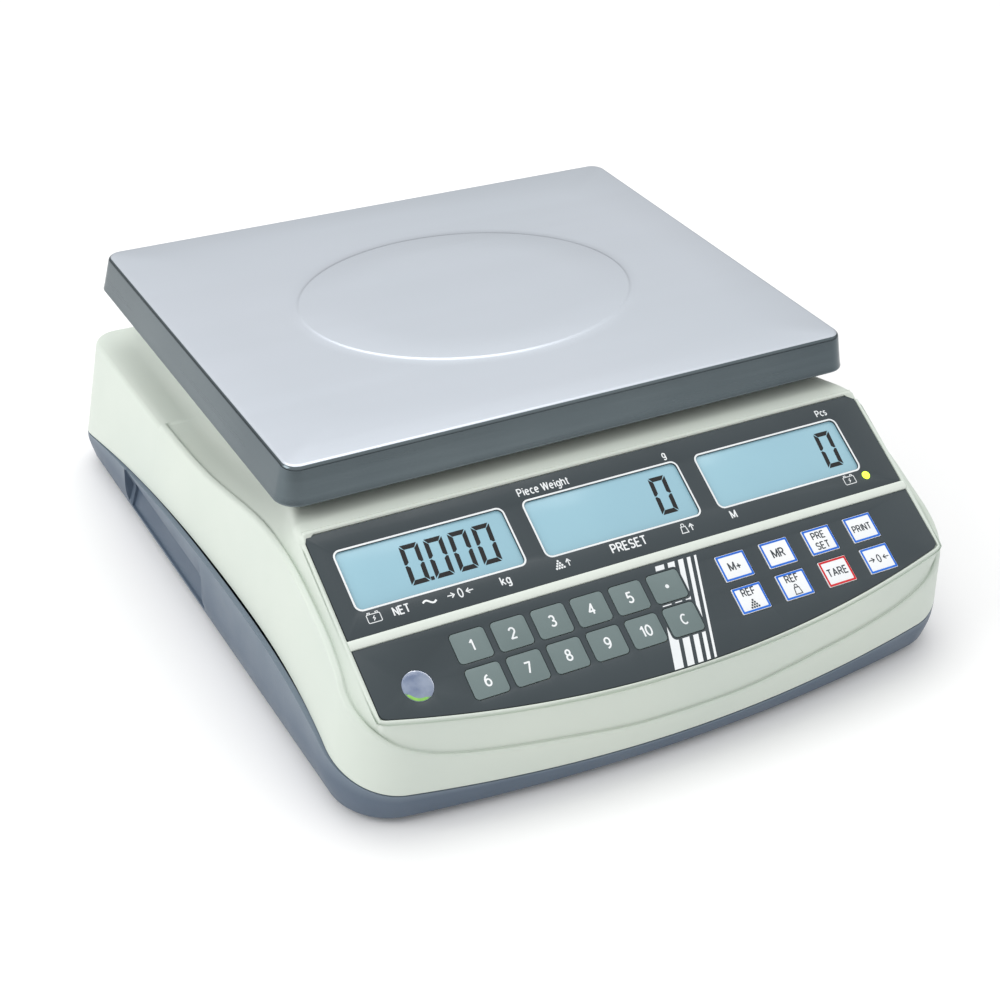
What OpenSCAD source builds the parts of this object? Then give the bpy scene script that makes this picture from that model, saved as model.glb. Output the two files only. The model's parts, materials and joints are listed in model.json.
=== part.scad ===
// Bench counting scale: pan on a single-point load cell, inside a two-part housing
// with a sloped display and keypad panel. +X is the user's right, -Y faces the user,
// +Z is up. The origin is on the bench, at the centre of the footprint.

/* [Housing] */
// Overall width
body_w = 324; // [310:1:400]
// Overall depth
body_d = 355; // [345:1:430]
// Wall of the cover and the base
wall = 2.5; // [2:0.1:3]
// Gap between the bench and the base
base_clear = 3; // [2:0.5:6]
// Front corner radius in plan
front_corner_r = 30; // [26:1:40]
// Rear corner radius in plan
rear_corner_r = 22; // [14:1:30]
// Radius of the bowed front
front_bow_r = 900; // [700:10:1500]
// Height of the base's edge at the front
seam_front_z = 12; // [11:0.5:14]
// Height of the base's edge at the middle of the sides
seam_mid_z = 43; // [38:0.5:44]
// Height of the base's edge at the rear
seam_rear_z = 16; // [14:0.5:20]
// Height of the shelf along the sides
shelf_z = 74; // [72:0.5:80]
// Height of the deck under the pan
deck_z = 100; // [98:0.5:102]
// Width of the deck under the pan
deck_w = 252; // [230:1:270]

/* [Pan] */
// Width of the pan
pan_w = 294; // [270:1:360]
// Depth of the pan
pan_d = 225; // [200:1:270]
// Height of the pan's top
pan_top_z = 125; // [123:0.5:135]
// Thickness of the pan's sheet
pan_sheet = 1; // [0.8:0.1:1.5]
// Height of the pan's rim
pan_rim_h = 18; // [14:0.5:19]
// How far the rim leans out
pan_flare = 4; // [2:0.5:6]
// Corner radius of the pan
pan_corner_r = 15; // [8:1:25]
// Width of the pan's pressed oval
oval_w = 174; // [120:1:200]
// Depth of the pan's pressed oval
oval_d = 128; // [90:1:150]

/* [Panel] */
// Slope of the panel
panel_tilt = 29.5; // [28:0.5:31]
// Width of the overlays
overlay_w = 292; // [288:1:294]
// Length of the display overlay up the slope
display_l = 50; // [48:1:52]
// Thickness of the overlays
overlay_t = 1.3; // [1:0.1:1.5]
// Width of the bar between the overlays
bar_w = 4.7; // [3:0.1:6]
// Width of a display window
window_w = 82; // [60:1:84]
// Height of a display window
window_h = 29; // [20:1:30]
// Distance between display windows
window_pitch = 92; // [88:1:96]
// Width of a number key
number_key_w = 16.4; // [12:0.1:17]
// Height of a number key
number_key_h = 14; // [10:0.1:14.5]
// Distance between number keys
number_pitch = 19.7; // [18.5:0.1:20.5]
// Width of a function key
function_key_w = 15.6; // [12:0.1:20]
// Height of a function key
function_key_h = 13; // [10:0.1:14.5]
// Distance between function keys
function_pitch = 24.2; // [22:0.1:25]
// Distance between key rows
key_row_pitch = 16.7; // [16:0.1:17.5]
// Gap around a key
key_gap = 0.3; // [0.2:0.05:0.4]
// Travel of a key
key_travel = 0.3; // [0.2:0.05:0.4]

/* [Load cell] */
// Length of the load cell
cell_l = 130; // [110:1:150]
// Width of the load cell
cell_w = 30; // [24:1:40]
// Height of the load cell
cell_h = 22; // [18:1:24]
// Travel of the platform at full load
load_travel = 0.4; // [0.2:0.1:0.8]

/* [Feet] */
// Radius of a foot's thread
foot_thread_r = 4; // [3:0.5:5]
// Radius of a foot's rubber pad
foot_pad_r = 10; // [8:0.5:13]
// Distance between feet across the scale
feet_x = 250; // [200:1:260]
// Distance between feet front to back
feet_y = 290; // [240:1:300]

/* [Battery] */
// Length of the battery, front to back
battery_l = 101; // [80:1:104]
// Width of the battery
battery_w = 68; // [50:1:70]
// Height of the battery
battery_h = 47; // [35:1:52]

/* [Hidden] */
$fn = 48;
eps = 0.01;
tall = 200;

// Plan: side walls tangent to front corner arcs, which are tangent to one wide bow.
front_y = -body_d / 2;
rear_y = body_d / 2;
bow_y = front_y + front_bow_r;
corner_x = body_w / 2 - front_corner_r;
corner_y = bow_y - sqrt(pow(front_bow_r - front_corner_r, 2) - pow(corner_x, 2));
bow_half_a = asin(corner_x / (front_bow_r - front_corner_r));
corner_steps = 8;
bow_steps = 10;

// Height of the seam between base and cover, and of the cover's side edge, at a depth y.
seam_peak_y = -50;
seam_rear_len = rear_y - seam_peak_y;
seam_front_len = seam_peak_y - front_y;
crest_start_y = 66;
crest_len = 154;
crest_top_z = deck_z - 2;
lip_h = 0.8;
profile_steps = 22;
deck_front_gap = 42;

// Panel: the origin of its own axes is the middle of the display overlay's lower edge.
panel_y = front_y + 49.2;
panel_z = 74.3;
panel_slope = tan(panel_tilt);
panel_plate = overlay_t + wall;
recess_w = overlay_w + 3;
recess_gap = 1.5;
level_drop = 6;
keypad_side_l = 31.5;
keypad_mid_l = 50;
window_mid_x = -4;
window_u = 25.7;
glass_edge = 2.4;
number_x = -95.7;
function_x = 39.4;
key_row_u = -17;
key_t = 0.85;
key_proud = 0.25;
film_t = 0.3;
dome_r = 4.5;
dome_r_top = 3;
dome_h = key_travel;
led_x = 129.6;
led_u = 7.6;
led_r = 2;
level_x = -125.3;
level_u = -27;
level_r = 7.1;

// Base
base_z = base_clear;
floor_z = base_z + wall;
seam_gap = 0.4;
base_tuck = 5;
tuck_z = 12;
grip_y0 = -3;
grip_y1 = 101;
grip_z0 = base_z + 4.5;
grip_depth = 11;
boss_r = 4.5;
boss_pilot_r = 1.5;
screw_shank_r = 1.5;
screw_head_r = 3.2;
screw_head_h = 1.8;
screw_hole_r = 1.9;
case_screws = [for (sx = [-1, 1], at = [[140, rear_y - 10], [138, -42], [95, front_y + 23]])
    [sx * at[0], at[1]]];

// Feet
foot_pad_h = 3.5;
foot_flange_h = 2.6;
foot_flange_r = 8.5;
foot_stud_l = 15;
foot_travel = 8;
foot_pin_r = 3;
foot_clear = 0.05;
foot_recess_r = foot_pad_r + 1.5;
foot_recess_z = foot_pad_h + foot_flange_h + 0.9;
foot_boss_r = foot_recess_r + wall;
foot_boss_z = foot_recess_z + foot_stud_l + foot_travel;
feet_mid_y = -3;

// Load path
pan_y = 41.5;
oval_h = 0.8;
pan_under_z = pan_top_z - pan_sheet;
pad_h = 5;
pad_r = 8;
pad_x = pan_w / 2 - 42;
pad_y = pan_d / 2 - 38;
arm_w = 20;
arm_h = 8;
arm_z = pan_under_z - pad_h - arm_h - 4;
post_r = 10;
pad_z = pan_under_z - pad_h;
hub_x = cell_l / 2 - 17;
cell_z = deck_z - 36;
cell_top_z = cell_z + cell_h;
chassis_z = floor_z + 3;
chassis_t = 5;
chassis_x0 = -112;
chassis_x1 = 64;
chassis_w = 96;
chassis_top_z = chassis_z + chassis_t;
cell_end_l = 34;
bolt_r = 3;
bolt_hole_r = 3.2;
bolt_head_r = 5;
bolt_head_h = 6;
bolt_pitch = 18;
spacer_l = 32;
spacer_w = cell_w - 2;
load_gap = load_travel + 0.1;
spacer_z = cell_top_z + load_gap;
deck_hole_l = 50;
deck_hole_w = 46;
deck_hole_r = 6;
gusset_l = 26;
gusset_h = 40;
gusset_t = 4;
stop_nut_r = 5.5;
stop_nut_h = 5;
platform_head_h = 3.5;
pad_plug_r = 2.95;
chassis_screws = [[-104, 38], [-104, -38], [56, 38], [56, -38]];

// Battery and its door in the floor
battery_x = 104;
battery_y = 66;
battery_z = floor_z + 0.5;
door_l = battery_l + 8;
door_w = battery_w + 4;
door_t = 1.8;
door_gap = 0.4;
door_ledge = 2.5;

// Power switch in the floor
switch_x = 112;
switch_y = -70;
switch_l = 21;
switch_w = 15;
switch_flange = 1;
switch_body_h = 16;
rocker_axis_z = base_z + 6;
rocker_l = 16;
rocker_w = 10;
rocker_face = 7.5;
rocker_tilt = 8;
rocker_pin_r = 1.5;

// Main board, its posts, and the keypad's tail slot
board_x = 0;
board_y = -98;
board_l = 120;
board_w = 76;
board_t = 1.6;
board_z = floor_z + 6;
board_posts = [for (sx = [-1, 1], sy = [-1, 1])
    [board_x + sx * (board_l / 2 - 5), board_y + sy * (board_w / 2 - 5)]];
tail_x = 20;
tail_u = -42;
tail_w = 20;

// The rear wall leans in from here up to the shelf.
rear_lean_z = 20;
rear_lean = 9;

// Sockets in the cover's rear wall
socket_z = 36;
serial_x = 60;
serial_w = 19;
serial_h = 11;
serial_screw_pitch = 25;
serial_screw_r = 1.7;
dc_x = 100;
dc_r = 5.5;
dc_bore_r = 3.3;
socket_flange_z = socket_z + serial_h / 2 + 1;
socket_wall_y = rear_y - wall - rear_lean * (socket_flange_z - rear_lean_z) / (shelf_z - rear_lean_z);

number_keys = [for (row = [0:1], col = [0:5])
    [number_x + col * number_pitch, key_row_u - row * key_row_pitch]];
function_keys = [for (row = [0:1], col = [0:3])
    [function_x + col * function_pitch, key_row_u - row * key_row_pitch]];

level_vial_r = 7.5;
level_vial_h = 8;
level_vial_pos = [level_x, panel_y + level_u * cos(panel_tilt),
    panel_z + level_u * sin(panel_tilt) - panel_plate - level_vial_h - level_drop];

// Leads: round points chosen along the housing's free space; the fourth value of a
// battery lead's point is its distance from the pair's middle.
cell_side_y = pan_y - cell_w / 2;
cell_cable_route = [[-40, cell_side_y - 0.9, cell_z + 10], [-42, cell_side_y - 14.5, 72],
    [-48, -14, 40], [-44, -50, 24], [-37, -78.6, 17]];
battery_lead_route = [[105, 60, 62, 17], [98, 50, 66, 6], [80, -20, 60, 2], [66, -70, 30, 2],
    [46.2, -93, 20, 2]];
ribbon_x = 38;
ribbon_w = 14;
ribbon_socket_h = 9;
ribbon_route = [[-104, 72.5], [-97, 52], [-83, board_z + board_t + ribbon_socket_h + 0.1]];

function arc(cx, cy, r, a0, a1, n) =
    [for (i = [0:n]) let(a = a0 + (a1 - a0) * i / n) [cx + r * cos(a), cy + r * sin(a)]];

function half_plan(inset) = concat(
    arc(0, bow_y, front_bow_r - inset, -90, -90 + bow_half_a, bow_steps / 2),
    arc(corner_x, corner_y, front_corner_r - inset, -90 + bow_half_a, 0, corner_steps),
    arc(body_w / 2 - rear_corner_r, rear_y - rear_corner_r, rear_corner_r - inset,
        0, 90, corner_steps));

function mirrored(points) = [for (i = [len(points) - 1:-1:1]) [-points[i][0], points[i][1]]];

function seam(y) = y > seam_peak_y
    ? seam_mid_z - (seam_mid_z - seam_rear_z) * pow((y - seam_peak_y) / seam_rear_len, 2)
    : seam_mid_z - (seam_mid_z - seam_front_z) * pow(min(1, (seam_peak_y - y) / seam_front_len), 2.4);

function panel_at(y) = panel_z + panel_slope * (y - panel_y);

function crest(y) = min(
    shelf_z + (crest_top_z - shelf_z) * pow(max(0, crest_start_y - y) / crest_len, 2),
    crest_top_z,
    panel_at(y) + lip_h);

module plan(inset) {
    points = half_plan(inset);
    polygon(concat(points, mirrored(points)));
}

// A solid with this outline in the Y-Z plane, as wide as the housing.
module side_cut() {
    rotate([90, 0, 90])
        translate([0, 0, -body_w])
            linear_extrude(2 * body_w) children();
}

// A solid with this outline in the X-Z plane, as deep as the housing.
module front_cut() {
    rotate([90, 0, 0])
        translate([0, 0, -body_d])
            linear_extrude(2 * body_d) children();
}

module on_panel() {
    translate([0, panel_y, panel_z])
        rotate([panel_tilt, 0, 0]) children();
}

module seam_profile(shift) {
    steps = profile_steps;
    polygon(concat(
        [[rear_y + 5, -tall], [front_y - 5, -tall]],
        [for (i = [0:steps]) let(y = front_y - 5 + (body_d + 10) * i / steps) [y, seam(y) + shift]]));
}

module crest_profile(inset) {
    steps = profile_steps;
    y0 = front_y - 5;
    polygon(concat(
        [[rear_y + 5, 0], [y0, 0]],
        [for (i = [0:steps]) let(y = y0 + (body_d + 10) * i / steps) [y, crest(y) - inset]]));
}

module side_slopes(inset) {
    low = body_w / 2 - inset;
    shelf_x = low - 7.5;
    top_x = low - 8.5;
    polygon([[low, 0], [low, 22], [shelf_x, shelf_z - 2], [top_x, tall],
        [-top_x, tall], [-shelf_x, shelf_z - 2], [-low, 22], [-low, 0]]);
}

module rear_slope(inset) {
    low = rear_y - inset;
    polygon([[front_y - 5, -5], [low, -5], [low, rear_lean_z], [low - rear_lean, shelf_z],
        [low - rear_lean - 13, deck_z], [low - rear_lean - 13, tall], [front_y - 5, tall]]);
}

module deck_profile(inset) {
    half = deck_w / 2 - inset;
    polygon([[half + 3, 0], [half + 3, shelf_z - 8], [half, deck_z - inset],
        [-half, deck_z - inset], [-half - 3, shelf_z - 8], [-half - 3, 0]]);
}

// Everything above the panel's plane between the side lips, dropped and grown for the cavity.
module above_panel(drop, grow) {
    on_panel()
        translate([-recess_w / 2 - grow, -90, -drop])
            cube([recess_w + 2 * grow, 90 + display_l + recess_gap + grow, tall]);
}

// The cover's full form before it is hollowed: side lips, deck and recessed panel.
module cover_form(inset) {
    difference() {
        intersection() {
            linear_extrude(tall) plan(inset);
            side_cut() rear_slope(inset);
            union() {
                intersection() {
                    side_cut() crest_profile(inset);
                    front_cut() side_slopes(inset);
                }
                intersection() {
                    front_cut() deck_profile(inset);
                    translate([-body_w, panel_y + deck_front_gap, 0]) cube([2 * body_w, body_d, tall]);
                }
            }
        }
        above_panel(inset > 0 ? panel_plate : 0, inset);
    }
}

module case_bosses(r, z0, z1) {
    for (p = case_screws)
        translate([p[0], p[1], z0]) cylinder(r = r, h = z1 - z0);
}

module oval_plan(grow) {
    steps = 48;
    polygon([for (i = [0:steps - 1]) let(a = 360 * i / steps)
        [(oval_w / 2 + grow) * cos(a), (oval_d / 2 + grow) * sin(a)]]);
}

module round_rect(w, d, r) {
    union() {
        square([w - 2 * r, d], center = true);
        square([w, d - 2 * r], center = true);
        for (sx = [-1, 1], sy = [-1, 1])
            translate([sx * (w / 2 - r), sy * (d / 2 - r)]) circle(r, $fn = 32);
    }
}

// Space for the fingers in each side of the base, and its wall inside.
module grip_space(grow) {
    x_out = body_w / 2 + 5;
    x_in = body_w / 2 - grip_depth - grow;
    for (side = [0, 1])
        mirror([side, 0, 0])
            translate([0, grip_y1 + grow, 0])
                rotate([90, 0, 0])
                    linear_extrude(grip_y1 - grip_y0 + 2 * grow)
                        polygon([[x_out, grip_z0 - grow - 1], [x_in + 4, grip_z0 - grow],
                            [x_in, grip_z0 + 14], [x_in + 5, grip_z0 + 26 + grow],
                            [x_out, grip_z0 + 26 + grow]]);
}

module base_form(inset) {
    low = body_w / 2 - inset;
    tuck = low - base_tuck;
    intersection() {
        translate([0, 0, base_z + inset]) linear_extrude(tall) plan(inset);
        side_cut()
            polygon([[front_y + inset + 3, 0], [front_y + inset, tuck_z], [front_y + inset, tall],
                [rear_y - inset, tall], [rear_y - inset, tuck_z], [rear_y - inset - 3, 0]]);
        front_cut()
            polygon([[-tuck, 0], [-low, tuck_z + 4], [-low, tall], [low, tall],
                [low, tuck_z + 4], [tuck, 0]]);
    }
}

module battery_window(grow) {
    translate([battery_x, battery_y, -eps])
        linear_extrude(tall) square([door_w + 2 * grow, door_l + 2 * grow], center = true);
}

module base_housing() {
    color([0.42, 0.49, 0.53])
    difference() {
        intersection() {
            side_cut() seam_profile(-seam_gap);
            union() {
                difference() {
                    base_form(0);
                    difference() {
                        base_form(wall);
                        grip_space(wall);
                    }
                }
                intersection() {
                    base_form(0);
                    union() {
                        for (sx = [-1, 1], sy = [-1, 1])
                            translate([sx * feet_x / 2, feet_mid_y + sy * feet_y / 2, base_z])
                                cylinder(r = foot_boss_r, h = foot_recess_z + wall - base_z);
                        for (sx = [-1, 1], sy = [-1, 1])
                            translate([sx * feet_x / 2, feet_mid_y + sy * feet_y / 2, base_z])
                                cylinder(r = foot_thread_r + 3, h = foot_boss_z - base_z - 8);
                        for (p = chassis_screws)
                            translate([p[0], pan_y + p[1], base_z])
                                cylinder(r = boss_r, h = chassis_z - base_z);
                        for (p = board_posts)
                            translate([p[0], p[1], base_z])
                                cylinder(r = boss_r, h = board_z - base_z);
                    }
                }
            }
        }
        grip_space(0);
        for (sx = [-1, 1], sy = [-1, 1])
            translate([sx * feet_x / 2, feet_mid_y + sy * feet_y / 2, 0]) {
                cylinder(r = foot_recess_r, h = foot_recess_z);
                cylinder(r = foot_thread_r, h = foot_boss_z);
            }
        for (p = case_screws) {
            translate([p[0], p[1], 0]) cylinder(r = screw_hole_r, h = 12);
            translate([p[0], p[1], 0]) cylinder(r = screw_head_r + 0.5, h = base_z + 1);
        }
        for (p = chassis_screws)
            translate([p[0], pan_y + p[1], base_z + 1]) cylinder(r = boss_pilot_r, h = 20);
        for (p = board_posts)
            translate([p[0], p[1], base_z + 1]) cylinder(r = boss_pilot_r, h = 20);
        battery_window(-door_ledge);
        translate([battery_x, battery_y, 0])
            linear_extrude(base_z + door_t + 0.1)
                square([door_w + 2 * door_gap, door_l + 2 * door_gap], center = true);
        translate([switch_x, switch_y, 0])
            linear_extrude(tall) square([switch_l - 1.8, switch_w - 1.8], center = true);
    }
}

module top_cover() {
    color([0.87, 0.9, 0.86])
    difference() {
        intersection() {
            union() {
                difference() {
                    cover_form(0);
                    cover_form(wall);
                }
                intersection() {
                    cover_form(0);
                    case_bosses(boss_r, floor_z + 0.3, tall);
                }
                on_panel()
                    translate([-recess_w / 2, -bar_w, -overlay_t - 0.5])
                        cube([recess_w, bar_w, overlay_t + 1.3]);
                intersection() {
                    cover_form(0);
                    difference() {
                        translate(level_vial_pos - [0, 0, 2]) cylinder(r = level_vial_r + 4.6, h = tall);
                        translate(level_vial_pos) cylinder(r = level_vial_r + 3, h = tall);
                    }
                }
            }
            union() {
                difference() {
                    linear_extrude(tall) square([2 * body_w, 2 * body_d], center = true);
                    side_cut() seam_profile(0);
                }
                case_bosses(boss_r, floor_z + 0.3, tall);
            }
        }
        on_panel() {
            overlay_seats();
            for (i = [-1:1])
                translate([window_mid_x + i * window_pitch, window_u, -20])
                    linear_extrude(30) square([window_w, window_h], center = true);
            translate([led_x, led_u, -20]) cylinder(r = led_r + 0.1, h = 30);
            translate([level_x, level_u, -20]) cylinder(r = level_r + 0.1, h = 30);
            translate([tail_x, tail_u, -20])
                linear_extrude(30) square([tail_w + 2, 4], center = true);
        }
        translate([hub_x, pan_y, deck_z - 10])
            linear_extrude(30) round_rect(deck_hole_l, deck_hole_w, deck_hole_r);
        for (p = case_screws)
            translate([p[0], p[1], 0]) cylinder(r = boss_pilot_r, h = floor_z + 14);
        rear_sockets_cut();
    }
}

module overlay_seats() {
    translate([0, 0, -overlay_t - 0.02]) linear_extrude(tall) display_outline(0.3);
    translate([0, 0, -overlay_t - film_t - 0.02]) linear_extrude(tall) keypad_outline(0.3);
}

module display_outline(grow) {
    translate([-overlay_w / 2 - grow, -grow])
        square([overlay_w + 2 * grow, display_l + 2 * grow]);
}

module keypad_outline(grow) {
    half = overlay_w / 2 + grow;
    steps = 16;
    polygon(concat(
        [[half, -bar_w + grow], [-half, -bar_w + grow]],
        [for (i = [0:steps]) let(s = -1 + 2 * i / steps)
            [s * half, -bar_w - grow - keypad_side_l - (keypad_mid_l - keypad_side_l) * (1 - s * s)]]));
}

module display_overlay() {
    color([0.26, 0.31, 0.33])
    on_panel()
        difference() {
            translate([0, 0, -overlay_t]) linear_extrude(overlay_t) display_outline(0);
            translate([led_x, led_u, -overlay_t - 1]) cylinder(r = led_r + 0.1, h = overlay_t + 2);
        }
}

module keypad_overlay() {
    color([0.26, 0.31, 0.33])
    on_panel()
        difference() {
            translate([0, 0, -overlay_t]) linear_extrude(overlay_t) keypad_outline(0);
            for (k = number_keys)
                key_block(k, number_key_w, number_key_h, key_gap, -overlay_t - 1, 1);
            for (k = function_keys)
                key_block(k, function_key_w, function_key_h, key_gap, -overlay_t - 1, 1);
            translate([level_x, level_u, -overlay_t - 1]) cylinder(r = level_r, h = overlay_t + 2);
        }
}

// A key's outline, grown and extruded between two heights on the panel.
module key_block(pos, w, h, grow, z0, z1) {
    translate([pos[0], pos[1], z0])
        linear_extrude(z1 - z0) square([w + 2 * grow, h + 2 * grow], center = true);
}

module number_key(i) {
    color([0.48, 0.55, 0.55])
    on_panel()
        key_block(number_keys[i], number_key_w, number_key_h, 0,
            key_proud - key_t, key_proud);
}

module function_key(i) {
    color("white")
    on_panel()
        key_block(function_keys[i], function_key_w, function_key_h, 0,
            key_proud - key_t, key_proud);
}

module keypad_circuit() {
    color([0.75, 0.72, 0.55])
    on_panel() {
        difference() {
            translate([0, 0, -overlay_t - film_t]) linear_extrude(film_t) keypad_outline(-1);
            translate([level_x, level_u, -overlay_t - 1]) cylinder(r = level_r + 1, h = 2);
        }
        translate([tail_x - tail_w / 2, tail_u - film_t / 2, -overlay_t - 16])
            cube([tail_w, film_t, 16]);
    }
}

module key_domes() {
    color("silver")
    on_panel()
        for (k = concat(number_keys, function_keys))
            translate([k[0], k[1], -overlay_t]) cylinder(r1 = dome_r, r2 = dome_r_top, h = dome_h);
}

module lcd_panels() {
    color([0.63, 0.8, 0.85])
    on_panel()
        for (i = [-1:1])
            translate([window_mid_x + i * window_pitch, window_u, -panel_plate - 2.8])
                linear_extrude(2.8) square([window_w + 4, window_h + glass_edge], center = true);
}

module lcd_backlights() {
    color([0.95, 0.95, 0.92])
    on_panel()
        for (i = [-1:1])
            translate([window_mid_x + i * window_pitch, window_u, -panel_plate - 6.8])
                linear_extrude(4) square([window_w + 4, window_h + glass_edge], center = true);
}

module display_board() {
    color([0.1, 0.35, 0.2])
    on_panel()
        translate([-overlay_w / 2 + 4, 3, -panel_plate - 8.4])
            cube([overlay_w - 8, display_l - 6, 1.6]);
}

module status_led() {
    color([0.75, 0.95, 0.2])
    on_panel()
        translate([led_x, led_u, -panel_plate - 6.8]) cylinder(r = led_r, h = panel_plate + 6.7);
}

module level_window() {
    color([0.8, 0.9, 0.95, 0.5])
    on_panel()
        translate([level_x, level_u, -panel_plate - 1.2]) {
            cylinder(r = level_r - 0.05, h = panel_plate + 1);
            cylinder(r = level_r + 1.2, h = 1.15);
        }
}

// The vial lies level below its window, and stands on a bracket from the cover.
module level_vial() {
    color([0.6, 0.9, 0.3])
    translate(level_vial_pos) cylinder(r = level_vial_r, h = level_vial_h);
}

module main_board() {
    color([0.1, 0.35, 0.2]) {
        difference() {
            translate([board_x - board_l / 2, board_y - board_w / 2, board_z])
                cube([board_l, board_w, board_t]);
            for (p = board_posts)
                translate([p[0], p[1], board_z - 1]) cylinder(r = screw_hole_r, h = board_t + 2);
        }
        translate([board_x - 12, board_y - 12, board_z + board_t]) cube([24, 24, 3]);
        translate([board_x + 30, board_y + 10, board_z + board_t]) cube([16, 10, ribbon_socket_h]);
        translate([board_x - 46, board_y + 6, board_z + board_t]) cube([18, 12, 8]);
    }
}

module battery() {
    color([0.2, 0.2, 0.22])
    translate([battery_x, battery_y, battery_z]) {
        translate([-battery_w / 2, -battery_l / 2, 0])
            cube([battery_w, battery_l, battery_h]);
        for (sx = [-1, 1])
            translate([sx * battery_w / 4 - 2.4, -battery_l / 2 + 6, battery_h])
                cube([4.8, 0.8, 6]);
    }
}

module battery_door() {
    color([0.42, 0.49, 0.53])
    translate([battery_x, battery_y, base_z]) {
        linear_extrude(door_t) square([door_w, door_l], center = true);
        linear_extrude(wall)
            square([door_w - 2 * door_ledge - 2 * door_gap, door_l - 2 * door_ledge - 2 * door_gap],
                center = true);
    }
}

// Countersunk-style case screw: head below, shank up into its boss.
module case_screw(z, len) {
    translate([0, 0, z - screw_head_h + 0.5]) cylinder(r = screw_head_r, h = screw_head_h);
    translate([0, 0, z]) cylinder(r = screw_shank_r - 0.02, h = len);
}

// A pan-head screw through a plate at z, down to the floor.
module plate_screw(z) {
    translate([0, 0, z]) cylinder(r = screw_head_r, h = screw_head_h);
    translate([0, 0, floor_z]) cylinder(r = screw_shank_r - 0.02, h = z - floor_z + 0.1);
}

module screws() {
    color("silver") {
        for (p = case_screws)
            translate([p[0], p[1], 0]) case_screw(base_z + 0.5, 15);
        for (p = board_posts)
            translate([p[0], p[1], 0]) plate_screw(board_z + board_t);
        for (p = chassis_screws)
            translate([p[0], pan_y + p[1], 0]) plate_screw(chassis_top_z);
    }
}

module chassis_frame() {
    color([0.7, 0.71, 0.72])
    difference() {
        union() {
            translate([chassis_x0, pan_y - chassis_w / 2, chassis_z])
                cube([chassis_x1 - chassis_x0, chassis_w, chassis_t]);
            translate([-cell_l / 2, pan_y - cell_w / 2, chassis_z])
                cube([cell_end_l - 1, cell_w, cell_z - chassis_z]);
            for (sy = [-1, 1])
                translate([-cell_l / 2 - gusset_l, pan_y + sy * (cell_w - gusset_t) / 2 - gusset_t / 2,
                    chassis_top_z - eps])
                    rotate([90, 0, 0]) mirror([0, 0, 1])
                        linear_extrude(gusset_t)
                            polygon([[0, 0], [gusset_l + eps, 0], [gusset_l + eps, gusset_h]]);
        }
        for (p = chassis_screws)
            translate([p[0], pan_y + p[1], chassis_z - 1]) cylinder(r = screw_hole_r, h = chassis_t + 2);
        for (sy = [-1, 1])
            translate([-cell_l / 2 + cell_end_l / 2, pan_y + sy * bolt_pitch / 2, chassis_z + 12])
                cylinder(r = bolt_r - 0.2, h = tall);
        translate([hub_x, pan_y, chassis_z - 1]) cylinder(r = bolt_r - 0.2, h = chassis_t + 2);
    }
}

module load_cell() {
    color([0.78, 0.79, 0.8])
    difference() {
        translate([-cell_l / 2, pan_y - cell_w / 2, cell_z]) cube([cell_l, cell_w, cell_h]);
        for (x = [-16, 16])
            translate([x, pan_y + cell_w, cell_z + cell_h / 2])
                rotate([90, 0, 0]) cylinder(r = cell_h / 2 - 3, h = 2 * cell_w);
        translate([-16, pan_y - cell_w, cell_z + cell_h / 2 - 4]) cube([32, 2 * cell_w, 8]);
        for (sy = [-1, 1]) {
            translate([-cell_l / 2 + cell_end_l / 2, pan_y + sy * bolt_pitch / 2, cell_z - 1])
                cylinder(r = bolt_hole_r, h = cell_h + 2);
            translate([hub_x, pan_y + sy * bolt_pitch / 2, cell_z - 1])
                cylinder(r = bolt_r, h = cell_h + 2);
        }
    }
}

module fixed_end_bolts() {
    color("dimgray")
    for (sy = [-1, 1])
        translate([-cell_l / 2 + cell_end_l / 2, pan_y + sy * bolt_pitch / 2, 0]) {
            translate([0, 0, chassis_z + 13]) cylinder(r = bolt_r - 0.25, h = cell_z - chassis_z - 13);
            translate([0, 0, cell_z]) cylinder(r = bolt_r, h = cell_h + 0.1);
            translate([0, 0, cell_top_z]) cylinder(r = bolt_head_r, h = bolt_head_h);
        }
}

module overload_stop() {
    color("dimgray")
    translate([hub_x, pan_y, 0]) {
        translate([0, 0, chassis_z])
            cylinder(r = bolt_r - 0.25, h = cell_z - load_travel - 0.1 - chassis_z);
        translate([0, 0, chassis_top_z]) cylinder(r = stop_nut_r, h = stop_nut_h, $fn = 6);
    }
}

// Platform: everything that the load cell carries
module cell_spacer() {
    color([0.7, 0.71, 0.72])
    difference() {
        translate([hub_x - spacer_l / 2, pan_y - spacer_w / 2, spacer_z])
            cube([spacer_l, spacer_w, arm_z - spacer_z]);
        for (sy = [-1, 1])
            translate([hub_x, pan_y + sy * bolt_pitch / 2, spacer_z - 1])
                cylinder(r = bolt_hole_r, h = tall);
    }
}

module platform_bolts() {
    color("dimgray")
    for (sy = [-1, 1])
        translate([hub_x, pan_y + sy * bolt_pitch / 2, 0]) {
            translate([0, 0, spacer_z]) cylinder(r = bolt_r, h = arm_z + arm_h - spacer_z);
            translate([0, 0, arm_z + arm_h]) cylinder(r = bolt_head_r, h = platform_head_h);
        }
}

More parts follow.
